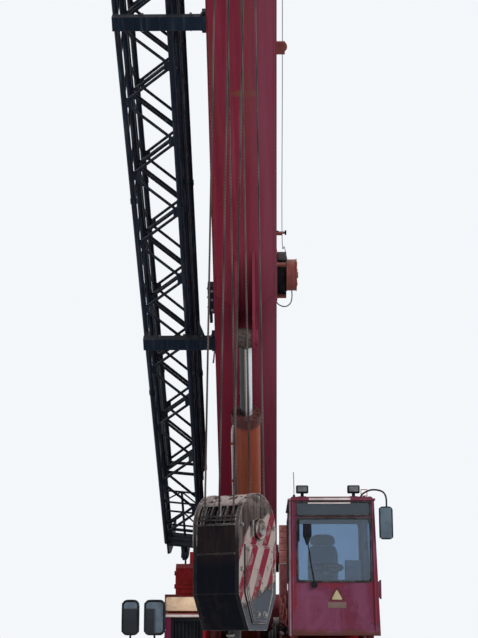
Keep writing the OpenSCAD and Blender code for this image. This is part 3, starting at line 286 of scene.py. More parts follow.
def rod(mesh, low, high, radius, sides=12, tip=None, place=None):
    """Round or many-sided bar between two points, narrower at its tip if asked."""
    low, high = Vector(low), Vector(high)
    turn = (high - low).to_track_quat("Z", "Y").to_matrix().to_4x4()
    matrix = Matrix.Translation((low + high) / 2) @ turn
    if place is not None:
        matrix = place @ matrix
    tip = radius if tip is None else tip
    bmesh.ops.create_cone(mesh, cap_ends=True, segments=sides, radius1=radius, radius2=tip,
                          depth=(high - low).length, matrix=matrix)


def ring_at(spot, radius, sides, across=(0, 1, 0), other=(0, 0, 1)):
    """Points evenly round a spot, in the plane of two ways, which are Y and Z if none is given."""
    turns = [2 * math.pi * k / sides for k in range(sides)]
    return [Vector(spot) + (Vector(across) * math.cos(a) + Vector(other) * math.sin(a)) * radius
            for a in turns]


def bent_pipe(mesh, points, radius, sides=8, smooth=6, place=None):
    """Pipe or hose through points, on one smooth curve."""
    points = [Vector(p) for p in points]
    ends = [points[0] * 2 - points[1]] + points + [points[-1] * 2 - points[-2]]
    line = []
    for i in range(1, len(ends) - 2):
        a, b, c, d = ends[i - 1:i + 3]
        for k in range(smooth):
            t = k / smooth
            line.append(0.5 * (2 * b + (c - a) * t + (2 * a - 5 * b + 4 * c - d) * t * t
                               + (3 * b - a - 3 * c + d) * t ** 3))
    line.append(points[-1])
    rings = []
    across = None
    for i, p in enumerate(line):
        ahead = (line[min(i + 1, len(line) - 1)] - line[max(i - 1, 0)]).normalized()
        if across is None:
            across = ahead.orthogonal().normalized()
        across = (across - ahead * across.dot(ahead)).normalized()
        rings.append(ring_at(p, radius, sides, across, ahead.cross(across)))
    loft(mesh, rings, place)


def bolt_row(mesh, places, out, radius, height, place=None):
    """Hexagon heads with their washers, standing out from a face."""
    out = Vector(out).normalized()
    washer_r, washer_t, sunk = radius * 1.35, 0.003, 0.002
    for p in places:
        p = Vector(p)
        rod(mesh, p - out * sunk, p + out * washer_t, washer_r, 14, place=place)
        rod(mesh, p, p + out * height, radius, 6, place=place)


def made(name, mesh, material, body):
    """Turns the built shape into a named piece with its finish, riding on its body."""
    bmesh.ops.recalc_face_normals(mesh, faces=mesh.faces)
    data = bpy.data.meshes.new(name)
    mesh.to_mesh(data)
    mesh.free()
    data.polygons.foreach_set("use_smooth", [True] * len(data.polygons))
    crease_angle = math.radians(38)
    data.set_sharp_from_angle(angle=crease_angle)
    piece = bpy.data.objects.new(name, data)
    bpy.context.scene.collection.objects.link(piece)
    data.materials.append(material)
    if body:
        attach(piece, body)
    return piece


def coat(material, *nodes):
    """Gives CAD nodes a finish, on all their material slots."""
    for name in nodes:
        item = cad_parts[name]
        for slot in item.material_slots:
            slot.material = material


under_paint = paint("under_paint", (0.2, 0.02, 0.03), (0.26, 0.05, 0.055), rust=0.9, dust=0.9, gloss=0.55)
coat(under_paint, "car_body", "track_frame_left", "track_frame_right")

covers = bmesh.new()
bolts = bmesh.new()
for side in (-1, 1):
    face = side * (track_half + frame_half)
    for y0 in (-1.05, -0.1, 0.85):
        plate(covers, (face, face + side * 0.012), (y0, y0 + 0.42), (0.44, 0.58))
        bolt_row(bolts, [(face + side * 0.012, y0 + dy, z) for dy in (0.03, 0.21, 0.39)
                         for z in (0.465, 0.555)], (side, 0, 0), 0.011, 0.009)
    for y0 in (-1.45, 1.35):
        plate(covers, (face, face + side * 0.01), about(y0, 0.05), (0.4, 0.62))
made("frame_covers", covers, under_paint, "undercarriage")

bare_steel, tree = new_finish("oily_steel")
place = placed(tree)
colour = tinted(tree, spots(tree, place, (22.0, 7.0, 0.7), 0.44, 0.62), (0.15, 0.14, 0.135),
                (0.3, 0.285, 0.27))
colour = tinted(tree, spots(tree, place, (9.0, 6.0, 0.7), 0.55, 0.66, 0, 0.8), colour, rust_dark)
look(tree, colour, cut(tree, speckle(tree, place, 30.0), 0.3, 0.7, 0.35, 0.65), 0.75,
     relief=(speckle(tree, place, 80.0), 0.2, 0.002))
coat(bare_steel, "slewing_ring", "track_rollers", "sprockets", "idlers", "boom_pins", "winch_mounts")
made("frame_bolts", bolts, bare_steel, "undercarriage")

rubber, tree = new_finish("hose_rubber")
place = placed(tree)
colour = tinted(tree, spots(tree, place, (12.0, 6.0), 0.42, 0.7), (0.018, 0.018, 0.02),
                (0.075, 0.07, 0.065))
look(tree, colour, 0.62, shine=0.25, relief=(speckle(tree, place, 160.0), 0.3, 0.001))

hoses = bmesh.new()
for side in (-1, 1):
    for z in (0.6, 0.53):
        bent_pipe(hoses, [(side * 0.62, 0.84, z), (side * 0.75, 0.98, z), (side * 0.85, 1.3, z + 0.02),
                          (side * 0.83, 1.75, z), (side * 0.8, 1.98, z - 0.04),
                          (side * 0.8, 2.03, z - 0.08)], 0.019)
made("drive_hoses", hoses, rubber, "undercarriage")


# Tracks
# Each loop is 60 rolled steel shoes with one grouser, held by four bolts to the chain's links,
# with the chain's pins showing at the sides of its rails. Soil and rust sit on all of it.
shoe_count, pad_r, shoe_t = 60, 0.425, 0.022
loop_len = 4 * wheel_y + 2 * math.pi * pad_r
shoe_pitch = loop_len / shoe_count


def on_loop(s, out):
    """Place and outward direction on the track's loop, in Y and Z."""
    run, arc = 2 * wheel_y, math.pi * pad_r
    s = s % loop_len
    if s < run:
        return (s - wheel_y, wheel_z - pad_r - out), (0.0, -1.0)
    if s < run + arc:
        a = (s - run) / pad_r
        return ((wheel_y + (pad_r + out) * math.sin(a), wheel_z - (pad_r + out) * math.cos(a)),
                (math.sin(a), -math.cos(a)))
    if s < 2 * run + arc:
        return (wheel_y - (s - run - arc), wheel_z + pad_r + out), (0.0, 1.0)
    a = (s - 2 * run - arc) / pad_r
    return ((-wheel_y - (pad_r + out) * math.sin(a), wheel_z + (pad_r + out) * math.cos(a)),
            (-math.sin(a), math.cos(a)))


track_steel, tree = new_finish("track_steel_worn")
place = placed(tree)
colour = tinted(tree, spots(tree, place, (7.0, 8.0, 0.7), 0.4, 0.66), (0.07, 0.045, 0.032),
                (0.155, 0.085, 0.05))
soil = spots(tree, place, (2.4, 7.0, 0.65), 0.46, 0.66, 0.0, 0.85)
colour = tinted(tree, soil, colour, (0.21, 0.165, 0.12))
bright = times(tree, worn_edges(tree, 0.008), spots(tree, place, (20.0, 5.0), 0.38, 0.6))
colour = tinted(tree, bright, colour, (0.36, 0.34, 0.32))
look(tree, colour, cut(tree, soil, 0.0, 0.85, 0.52, 0.92), times(tree, bright, 0.8),
     relief=(speckle(tree, place, 45.0, 6.0, 0.7), 0.5, 0.004))
coat(track_steel, "track_left", "track_right")

for side, side_name in ((1, "left"), (-1, "right")):
    bolts = bmesh.new()
    pins = bmesh.new()
    for i in range(shoe_count):
        for ds in (0.095, 0.15):
            (y, z), (oy, oz) = on_loop(i * shoe_pitch + ds, shoe_t)
            for x in (-0.11, -0.074, 0.074, 0.11):
                base = Vector((side * track_half + x, y, z))
                out = Vector((0, oy, oz))
                rod(bolts, base - out * 0.001, base + out * 0.012, 0.013, 6)
        (y, z), _ = on_loop(i * shoe_pitch, -0.052)
        for x0 in (-0.128, 0.114):
            rod(pins, (side * track_half + x0, y, z), (side * track_half + x0 + 0.014, y, z), 0.024, 10)
    made("shoe_bolts_" + side_name, bolts, track_steel, "undercarriage")
    made("chain_pins_" + side_name, pins, track_steel, "undercarriage")

cast_paint = paint("cast_paint", (0.17, 0.02, 0.028), (0.22, 0.045, 0.05), rust=0.7, dust=0.8, gloss=0.6)
coat(cast_paint, "final_drives", "counterweight")
bolts = bmesh.new()
for side in (-1, 1):
    for out, radius, count, bolt_r in ((0.2323, 0.14, 12, 0.01), (0.2723, 0.085, 8, 0.008)):
        bolt_row(bolts, ring_at((side * (track_half + out), wheel_y, wheel_z), radius, count), (side, 0, 0),
                 bolt_r, bolt_r)
made("drive_bolts", bolts, bare_steel, "undercarriage")


# Turntable, deck and counterweight
# The turntable is two thick boom cheeks on a base plate, welded along both sides with wide beads.
# Decks of tread plate are bolted beside it, and two cast slabs with lifting eyes hang at the tail.
upper_paint = paint("upper_paint", (0.185, 0.016, 0.024), (0.235, 0.036, 0.044), rust=0.6, dust=0.6,
                    gloss=0.45)
cheek_in, cheek_out, deck_top = 0.4, 0.44, 1.3
coat(upper_paint, "turntable_frame", "deck")


def weld(mesh, low, high, radius, ripple, place=None):
    """Weld bead: a low rounded strip whose ripples follow each other."""
    crest, dip = 1.22, 0.88
    low, high = Vector(low), Vector(high)
    count = max(2, int((high - low).length / ripple))
    ahead = (high - low).normalized()
    across = ahead.orthogonal().normalized()
    rings = []
    for i in range(count + 1):
        swell = radius * (crest if i % 2 else dip)
        rings.append(ring_at(low + (high - low) * i / count, swell, 6, across, ahead.cross(across)))
    loft(mesh, rings, place)


beads = bmesh.new()
cheek_rise = ((-1.49, 1.393), (-1.25, 1.452), (-0.245, 1.532), (0.99, 2.52))
for side in (-1, 1):
    weld(beads, (side * cheek_in, -1.49, 1.15), (side * cheek_in, 2.53, 1.15), 0.01, 0.05)
    for one, two in zip(cheek_rise, cheek_rise[1:]):
        weld(beads, (side * cheek_out, *one), (side * cheek_out, *two), 0.008, 0.04)
made("turntable_welds", beads, upper_paint, "upper")

tread = bmesh.new()
rib_pitch = 0.06
for x0, x1, y0, y1 in ((0.5, 1.45, -0.3, -0.33), (-1.13, -0.92, -1.93, 0.83), (-1.13, -0.5, 0.87, 1.15),
                       (-1.13, -1.02, 1.2, 2.55)):
    nx, ny = int(abs(x1 - x0) / rib_pitch), int(abs(y1 - y0) / rib_pitch)
    for i in range(nx):
        for j in range(ny):
            x = x0 + (i + 0.5) * (x1 - x0) / nx
            y = y0 + (j + 0.5) * (y1 - y0) / ny
            slant = 0.012 if (i + j) % 2 else -0.012
            rod(tread, (x - slant, y - 0.016, deck_top), (x + slant, y + 0.016, deck_top + 0.003), 0.004, 4)
made("deck_tread", tread, upper_paint, "upper")

brackets = bmesh.new()
bolts = bmesh.new()
for side in (-1, 1):
    for z in (1.4, 1.9):
        plate(brackets, (side * 1.253, side * 1.268), (2.72, 2.98), about(z, 0.15), edge=0.005)
        bolt_row(bolts, [(side * 1.268, y, bolt_z) for bolt_z in about(z, 0.12) for y in (2.75, 2.95)],
                 (side, 0, 0), 0.016, 0.014)
    for x in about(side * 0.88, 0.02):
        weld(brackets, (x, 2.78, 2.162), (x, 2.98, 2.162), 0.009, 0.03)
made("weight_brackets", brackets, cast_paint, "upper")
made("weight_bolts", bolts, bare_steel, "upper")


# Hood, tank housings and the front housing
# Sheet steel boxes with pressed edges: doors on hinges with a latch, slots for air, filler caps.
# The front housing carries a cream cover and a pale lip with a rounded end above a dark grille.
house_paint = paint("house_paint", (0.29, 0.006, 0.01), (0.33, 0.016, 0.02), rust=0.35, dust=0.45,
                    gloss=0.44, shine=0.14)
tree = house_paint.node_tree
house_spot = parts(tree, placed(tree))
# Painted shade: the front housing's face below the pale lip is a dark purple-red.
at_front = cut(tree, house_spot[1], -1.93, -1.9, 1.0, 0.0)
at_foot = cut(tree, house_spot[2], 1.77, 1.785, 1.0, 0.0)
look(tree, tinted(tree, times(tree, at_front, at_foot), colour_of(tree), (0.105, 0.008, 0.034)))
coat(house_paint, "engine_hood", "side_tank", "front_housing")

dark_trim, tree = new_finish("dark_trim")
place = placed(tree)
colour = tinted(tree, spots(tree, place, (8.0, 6.0), 0.42, 0.7), (0.005, 0.006, 0.009),
                (0.018, 0.018, 0.021))
look(tree, tinted(tree, times(tree, upward(tree), 0.3), colour, (0.2, 0.18, 0.16)),
     cut(tree, speckle(tree, place, 25.0), 0.3, 0.7, 0.38, 0.62), shine=0.12,
     relief=(speckle(tree, place, 220.0), 0.15, 0.001))
coat(dark_trim, "front_grille", "cab_fittings")

engine_grey = paint("engine_grey", (0.13, 0.135, 0.14), (0.2, 0.2, 0.2), rust=0.6, dust=0.7, gloss=0.5)
coat(engine_grey, "engine")


def door_on_wall(mesh, dark, x, y, z, side, hinges):
    """Sheet door on a side wall: raised panel, two strap hinges and a turn latch."""
    face = x + side * 0.006
    plate(mesh, (x, face), y, z)
    span = y[1] - y[0]
    edge_y = y[0] if hinges == "low" else y[1]
    inward = 1 if hinges == "low" else -1
    latch_z = (z[0] + z[1]) / 2
    for zz in about(latch_z, 0.35 * (z[1] - z[0])):
        plate(mesh, (face, face + side * 0.005), (edge_y, edge_y + inward * 0.1), about(zz, 0.018),
              edge=0.002)
        pin_x = face + side * 0.006
        rod(mesh, (pin_x, edge_y, zz - 0.03), (pin_x, edge_y, zz + 0.03), 0.009, 10)
    latch_y = y[1] - 0.12 * span if hinges == "low" else y[0] + 0.12 * span
    plate(dark, (face, face + side * 0.01), about(latch_y, 0.035), about(latch_z, 0.045), edge=0.003)
    rod(dark, (face, latch_y, latch_z), (face + side * 0.022, latch_y, latch_z), 0.014)


def handle(mesh, x, y, z, radius):
    """Bow handle of round bar, standing up on a lid."""
    bent_pipe(mesh, [(x, y[0], z[0]), (x, y[0], z[1]), (x, y[1], z[1]), (x, y[1], z[0])], radius)


hood_left, hood_right = -1.0, -0.52
hood_back, hood_top = 2.56, 2.53
tank_side, house_x, house_front = 1.45, (-0.9, -0.475), -1.95
housings = bmesh.new()
fittings = bmesh.new()
for wall, side, z, doors in (
        (hood_left, -1, (1.36, 1.66), ((1.22, 1.85, "low"), (1.89, 2.52, "high"))),
        (hood_left, -1, (2.19, 2.44), ((1.22, 2.52, "low"), )),
        (tank_side, 1, (1.42, 2.02),
         ((-0.2, 0.4, "low"), (0.46, 1.06, "high"), (1.26, 1.8, "low"), (1.86, 2.42, "high"))),
        (house_x[0], -1, (1.42, 1.8), ((-1.6, -0.75, "low"), (-0.68, 0.1, "high"), (0.16, 0.8, "low")))):
    for y0, y1, hinges in doors:
        door_on_wall(housings, fittings, wall, (y0, y1), z, side, hinges)
for y in (1.32, 2.3):
    handle(fittings, hood_left + 0.12, (y, y + 0.12), (hood_top - 0.002, hood_top + 0.045), 0.009)
plate(housings, (hood_left + 0.02, hood_right - 0.02), (hood_back, hood_back + 0.008), (1.45, 2.4))
for i in range(9):
    z = 1.55 + i * 0.085
    plate(housings, (hood_left + 0.07, hood_right - 0.07), (hood_back + 0.004, hood_back + 0.02),
          (z, z + 0.035))
for y in ((-0.26, 1.12), (1.22, 2.48)):
    for z in (1.33, 2.07):
        plate(housings, (tank_side - 0.002, tank_side + 0.004), y, (z, z + 0.012), edge=0.002)
for y in (0.2, 1.7):
    rod(fittings, (1.25, y, 2.205), (1.25, y, 2.238), 0.082, 20)
    rod(fittings, (1.19, y, 2.25), (1.31, y, 2.25), 0.011, 8)
    rod(fittings, (1.25, y, 2.236), (1.25, y, 2.252), 0.018, 8)
plate(housings, (0.6, 1.35), (-0.307, -0.298), (1.5, 2.0))
for i in range(7):
    z = 1.58 + i * 0.052
    plate(housings, (0.7, 1.25), (-0.317, -0.305), (z, z + 0.02), edge=0.003)
for i in range(4):
    y = -1.72 + i * 0.09
    plate(housings, (house_x[0] + 0.03, house_x[1] - 0.03), (y, y + 0.035), (1.998, 2.012), edge=0.005)
for y in (-1.5, -0.6, 0.3):
    handle(fittings, -0.82, (y, y + 0.16), (1.998, 2.04), 0.008)
made("housing_doors", housings, house_paint, "upper")
made("housing_fittings", fittings, dark_trim, "upper")

cream_paint = paint("cream_paint", (0.66, 0.44, 0.28), (0.76, 0.54, 0.36), rust=0.25, dust=0.2, gloss=0.5)
cream_bar = bmesh.new()
plate(cream_bar, (house_x[0] - 0.006, house_x[1] + 0.006), (-1.896, -1.786), (1.849, 2.006), edge=0.022)
made("cream_cover", cream_bar, cream_paint, "upper")
pale_lip = bmesh.new()
plate(pale_lip, (house_x[0] + 0.01, house_x[1] + 0.02), (house_front - 0.022, house_front + 0.02),
      (1.783, 1.812), edge=0.01)
lip_x, lip_y = house_x[0] + 0.012, house_front - 0.001
rod(pale_lip, (lip_x, lip_y, 1.784), (lip_x, lip_y, 1.811), 0.021, 20)
lip_paint = paint("lip_paint", (0.5, 0.43, 0.42), (0.6, 0.54, 0.52), rust=0.5, dust=0.2, gloss=0.4)
made("pale_lip", pale_lip, lip_paint, "upper")


# Valve stand beside the boom
# A welded sheet column on the right boom cheek with the bank of hydraulic valves bolted on its top,
# fed by steel pipes with nuts and by rubber hoses that loop forward to the cheek's nose.
stand_paint = paint("stand_paint", (0.33, 0.09, 0.095), (0.4, 0.14, 0.14), rust=0.9, dust=0.4, gloss=0.5,
                    shine=0.15)
valve_paint = paint("valve_paint", (0.64, 0.22, 0.2), (0.74, 0.33, 0.29), rust=0.9, dust=0.4, gloss=0.5,
                    shine=0.2)
stand_x, stand_front = (0.388, 0.486), -0.498
stand = bmesh.new()
plate(stand, (0.396, 0.484), (-0.5, -0.385), (1.56, 2.436), edge=0.006)
plate(stand, stand_x, (-0.52, -0.375), (1.53, 1.562))
rod(stand, (0.44, -0.5, 1.64), (0.44, -0.545, 1.64), 0.05, 24)
made("valve_stand", stand, stand_paint, "upper")
stand_lip = bmesh.new()
plate(stand_lip, stand_x, (-0.512, -0.38), (2.436, 2.452), edge=0.003)
rod(stand_lip, (0.44, -0.545, 1.64), (0.44, -0.552, 1.64), 0.052, 24)
made("valve_stand_lip", stand_lip, lip_paint, "upper")
valves = bmesh.new()
for k in range(6):
    z = 2.489 + 0.078 * k
    plate(valves, (0.388, 0.484), (-0.506 + 0.006 * (k % 2), -0.384), about(z, 0.037), edge=0.006)
    rod(valves, (0.428, -0.5, z), (0.428, -0.53, z), 0.017, 10)
    rod(valves, (0.464, -0.5, z), (0.464, -0.524, z), 0.011, 6)
made("valve_bank", valves, valve_paint, "upper")
pipes = bmesh.new()
for x, z in ((0.408, 2.02), (0.432, 1.96), (0.456, 2.05), (0.47, 1.9)):
    bent_pipe(pipes, [(x, stand_front, z), (x, -0.56, z), (x + 0.006, -0.59, z - 0.03),
                      (x, -0.585, z - 0.11), (x - 0.008, -0.56, z - 0.17), (x, stand_front, z - 0.2)],
              0.009, 8, 5)
    for nut_z in (z, z - 0.2):
        rod(pipes, (x, -0.5, nut_z), (x, -0.53, nut_z), 0.016, 6)
made("valve_pipes", pipes, valve_paint, "upper")
hoses = bmesh.new()
for x, far, high in ((0.3, 0.455, 1.66), (0.335, 0.47, 1.7), (0.265, 0.43, 1.63)):
    bent_pipe(hoses, [(x, -1.438, 1.34), (x, -1.4, high - 0.06), (x + 0.02, -1.3, high),
                      (0.395, -1.08, high + 0.02), (0.452, -0.85, high - 0.02), (far, -0.65, high - 0.05),
                      (far, stand_front, high - 0.06)], 0.013)
made("valve_hoses", hoses, rubber, "upper")


# Side mirrors of the front housing
# Two glass mirrors with a painted grey-blue reflection and painted shade on their lower left parts, each in
# a bent steel tube frame painted black, on posts that stand on one cross bar. The plate at the housing's
# side carries the bar.
mirror_glass, tree = new_finish("mirror_glass")
place = placed(tree)
# Painted reflection: the panes show a grey-blue sheen, and painted shade makes their lower left parts near
# black.
painted_mirror_sheen = tinted(tree, spots(tree, place, (9.0, 6.0), 0.45, 0.75), (0.095, 0.13, 0.165),
                      (0.05, 0.062, 0.08))
pane_spot = parts(tree, place)
in_shade = times(tree, cut(tree, pane_spot[0], -1.03, -0.995, 1.0, 0.0),
                 cut(tree, pane_spot[2], 1.868, 1.884, 1.0, 0.0))
look(tree, tinted(tree, in_shade, painted_mirror_sheen, (0.008, 0.011, 0.017)),
     cut(tree, speckle(tree, place, 30.0), 0.35, 0.75, 0.06, 0.3), 0.4)


def rounded(wide, high, corner):
    """Closed outline of a rectangle with round corners."""
    outline = []
    for u, v, start in ((wide[1] - corner, high[1] - corner, 0), (wide[0] + corner, high[1] - corner, 90),
                        (wide[0] + corner, high[0] + corner, 180),
                        (wide[1] - corner, high[0] + corner, 270)):
        for a in (0, 30, 60, 90):
            turn = math.radians(start + a)
            outline.append((u + corner * math.cos(turn), v + corner * math.sin(turn)))
    return outline + outline[:1]


mirror_tubes = bmesh.new()
panes = bmesh.new()
mirror_low, mirror_high = 1.6, 1.96
mirror_y = -1.98
post_y = mirror_y + 0.012
for mirror_x, half in ((-1.02, 0.105), (-1.29, 0.085)):
    outline = rounded((mirror_x - half, mirror_x + half), (mirror_low, mirror_high), 0.05)
    bent_pipe(mirror_tubes, [(x, mirror_y, z) for x, z in outline], 0.015, 8, 3)
    plate(panes, (mirror_x - half + 0.008, mirror_x + half - 0.008), (mirror_y - 0.009, mirror_y + 0.006),
          (mirror_low + 0.012, mirror_high - 0.012), edge=0.006)
    rod(mirror_tubes, (mirror_x, post_y, 1.48), (mirror_x, post_y, mirror_high - 0.1), 0.011)
    for z in (mirror_low + 0.07, mirror_high - 0.11):
        plate(mirror_tubes, about(mirror_x, 0.025), (mirror_y + 0.004, mirror_y + 0.026), about(z, 0.02))
bent_pipe(mirror_tubes, [(-1.3, post_y, 1.49), (-1.02, post_y, 1.49), (-0.96, -1.955, 1.45),
                         (-0.912, -1.92, 1.4)], 0.013, 10)
plate(mirror_tubes, (-0.914, -0.898), (-1.96, -1.88), (1.35, 1.45))
tubes = made("mirror_tubes", mirror_tubes, dark_trim, "upper")
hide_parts("side_mirrors")
made("mirror_panes", panes, mirror_glass, "upper")


# Winch drum with its rope
# Cast flanges on a grooved drum that turns in the two mounts; steel rope lies in even turns on it,
# greased dark, and leaves over the drum's top up to the boom.
winch_y, winch_z = 2.05, 1.68
drum_r, lay_r = 0.235, 0.011
wire, tree = new_finish("greased_rope")
greased = spots(tree, placed(tree), (30.0, 5.0, 0.7), 0.42, 0.62)
look(tree, tinted(tree, greased, (0.055, 0.05, 0.048), (0.2, 0.17, 0.15)), 0.5, 0.55)

drum = bmesh.new()
wraps = bmesh.new()
for side in (-1, 1):
    rod(drum, (side * 0.27, winch_y, winch_z), (side * 0.3, winch_y, winch_z), 0.3, 64)
    for p in ring_at((side * 0.3, winch_y, winch_z), 0.2, 6):
        rod(drum, p, p + Vector((side * 0.008, 0, 0)), 0.014, 6)
rod(drum, (-0.27, winch_y, winch_z), (0.27, winch_y, winch_z), drum_r - 0.014, 64)
turns, steps, lay_half = 21, 24, 0.256
lay_ring = ring_at((-lay_half, winch_y, winch_z), drum_r - 0.008, steps)
points = [lay_ring[k % steps] + Vector((2 * lay_half * k / (turns * steps), 0, 0))
          for k in range(turns * steps + 1)]
bent_pipe(wraps, points, lay_r, 6, 1)
drum_piece = made("drum_body", drum, cast_paint, "winch")
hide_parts("winch_drum")
made("drum_rope", wraps, wire, "winch")


# Operator's cab
# Sheet steel welded on tube pillars, its faded red paint chalky and gone purple from the sun. Panes
# sit in black rubber, the door hangs on two hinges, and a gutter of the same sheet edges the roof.
cab_x, cab_y, cab_z, lean = (0.49, 1.49), (-2.1, -0.45), (1.58, 3.11), 0.045
cab_paint = paint("cab_paint", (0.125, 0.018, 0.044), (0.15, 0.03, 0.062), rust=0.6, dust=0.45, gloss=0.44,
                  along=(5, 5, 0.6), edge=0.9, shine=0.2)
tree = cab_paint.node_tree


def band(tree, value, low, high, soft):
    """1 between two values, with soft ends."""
    rise = cut(tree, value, low - soft, low + soft)
    fall = cut(tree, value, high - soft, high + soft, 1.0, 0.0)
    return times(tree, rise, fall)


cab_spot = parts(tree, placed(tree))
cab_rough = speckle(tree, placed(tree), 7.0, 8.0, 0.7)
colour = colour_of(tree)
blotches = speckle(tree, placed(tree, scale=(1, 1, 0.7)), 2.6, 5.0, 0.62, 0.8)
colour = tinted(tree, cut(tree, blotches, 0.5, 0.6, 0.0, 0.7), colour, (0.168, 0.046, 0.096))
colour = tinted(tree, cut(tree, blotches, 0.47, 0.38, 0.0, 0.8), colour, (0.165, 0.014, 0.026))
foot_height = maths(tree, "ADD", cab_spot[2], times(tree, cab_rough, -0.16))
foot_rust = cut(tree, foot_height, 1.575, 1.535, 0.0, 0.85)
colour = tinted(tree, foot_rust, colour, (0.08, 0.026, 0.016))
# Painted highlight on faded paint: a paler line runs down the cab's left corner.
faded_and_lit_corner = times(tree, band(tree, cab_spot[0], 0.484, 0.507, 0.004),
                    cut(tree, cab_rough, 0.34, 0.5, 0.2, 0.8))
colour = tinted(tree, faded_and_lit_corner, colour, (0.34, 0.2, 0.245))
chips = times(tree, spots(tree, placed(tree), (16.0, 8.0, 0.75), 0.6, 0.66, 0.0, 0.8),
              cut(tree, cab_spot[2], 2.25, 1.7, 0.35))
colour = tinted(tree, chips, colour, (0.06, 0.022, 0.022))
wall_lean = maths(tree, "ADD", times(tree, cab_spot[2], lean / 1.5), cab_spot[0])
inside = times(tree, band(tree, wall_lean, 0.575, 1.512, 0.004),
               times(tree, band(tree, cab_spot[1], -2.078, -0.472, 0.004),
                     band(tree, cab_spot[2], 1.602, 3.088, 0.004)))
lining = tinted(tree, cut(tree, cab_rough, 0.4, 0.66), (0.235, 0.255, 0.285), (0.15, 0.16, 0.18))
look(tree, tinted(tree, inside, colour, lining))
coat(cab_paint, "cab_shell", "cab_door")

glass, tree = new_finish("cab_pane")
tree.nodes.clear()
glass_spot = parts(tree, placed(tree))
upper_pane = times(tree, cut(tree, glass_spot[2], 2.875, 2.885), cut(tree, glass_spot[1], -1.95, -2.0))
clear_side = step(tree, "BsdfTransparent",
                  {"Color": tinted(tree, upper_pane, (0.56, 0.66, 0.76), (0.14, 0.18, 0.29))})
shiny_side = step(tree, "BsdfGlossy", {"Color": (0.75, 0.85, 0.95, 1), "Roughness": 0.05})
film_side = step(tree, "BsdfDiffuse", {"Color": (0.3, 0.33, 0.37, 1)})
bend = step(tree, "Fresnel", {"IOR": 1.5})
glass_mix = step(tree, "MixShader", {0: cut(tree, bend.outputs[0], 0.0, 1.0, 0.04),
                                     1: clear_side.outputs[0], 2: shiny_side.outputs[0]})
film_share = spots(tree, placed(tree), (3.0, 8.0, 0.7), 0.4, 0.75, 0.0, 0.06)
glass_film = step(tree, "MixShader", {0: film_share, 1: glass_mix.outputs[0], 2: film_side.outputs[0]})
glass_out = tree.nodes.new("ShaderNodeOutputMaterial")
tree.links.new(glass_film.outputs[0], glass_out.inputs[0])
coat(glass, "cab_glass", "cab_door_glass")


def pane_seal(mesh, x, y, z, width, round_r=0.05, face="front"):
    """Rubber strip around a pane with rounded corners, on a front, back or side wall."""
    if face == "side":
        points = [(x(w) if callable(x) else x, u, w) for u, w in rounded(y, z, round_r)]
    else:
        points = [(u, y, w) for u, w in rounded(x, z, round_r)]
    bent_pipe(mesh, points, width / 2, 6, 2)


def outer_wall(z):
    """X of the cab's outer wall, which leans in towards the roof."""
    return cab_x[1] - lean * (z - cab_z[0]) / (cab_z[1] - 0.03 - cab_z[0])


seals = bmesh.new()
pane_seal(seals, (0.58, 1.4), cab_y[0] - 0.001, (2.17, 2.868), 0.026)
pane_seal(seals, (0.58, 1.4), cab_y[0] - 0.001, (2.898, 3.05), 0.02, 0.035)
pane_seal(seals, (0.6, 1.38), cab_y[1] + 0.001, (2.24, 2.94), 0.024)
pane_seal(seals, cab_x[0] - 0.001, (-1.85, -0.75), (2.2, 2.94), 0.024, 0.06, "side")
made("window_rubber", seals, rubber, "upper")

door_seal = bmesh.new()
pane_seal(door_seal, lambda z: outer_wall(z) + 0.001, (-1.81, -0.99), (2.2, 2.94), 0.024, 0.06, "side")
made("door_rubber", door_seal, rubber, "door")
grip = bmesh.new()
rod(grip, (1.518, -1.825, 1.985), (1.518, -1.825, 2.195), 0.011)
plate(grip, (1.466, 1.486), (-1.86, -1.79), (1.97, 2.02), edge=0.005)
plate(grip, (1.462, 1.484), (-1.86, -1.79), (2.16, 2.21), edge=0.005)
made("door_grip", grip, dark_trim, "door")

gutter = bmesh.new()
gutter_x, gutter_y = (0.486, 1.449), (-2.12, -0.434)
for x, y in ((gutter_x, (gutter_y[0], -2.096)), (gutter_x, (-0.454, gutter_y[1])),
             ((0.474, 0.494), gutter_y), ((1.441, 1.459), gutter_y)):
    plate(gutter, x, y, (3.066, 3.088))
plate(gutter, (0.66, 1.24), (-1.15, -0.75), (3.11, 3.132), edge=0.008)
for y in (-0.72, -1.18):
    rod(gutter, (0.72, y, 3.118), (1.18, y, 3.118), 0.01, 10)
for x in (cab_x[0] + 0.035, cab_x[1] - 0.05):
    rod(gutter, (x, cab_y[0] - 0.004, cab_z[0] + 0.03), (x - 0.02 * (x > 1), cab_y[0] - 0.004, 3.06), 0.012,
        10)
plate(gutter, (cab_x[0] + 0.02, cab_x[1] - 0.02), (cab_y[0] - 0.01, cab_y[0] + 0.004),
      (cab_z[0] + 0.005, cab_z[0] + 0.06), edge=0.005)
made("cab_gutter", gutter, cab_paint, "upper")

rail = bmesh.new()
plate(rail, (0.7, 1.18), (cab_y[0] - 0.022, cab_y[0] + 0.002), (3.026, 3.044), edge=0.006)
plate(rail, (0.71, 1.18), (cab_y[0] - 0.027, cab_y[0] - 0.017), (3.068, 3.094))
made("visor_rail", rail, lip_paint, "upper")

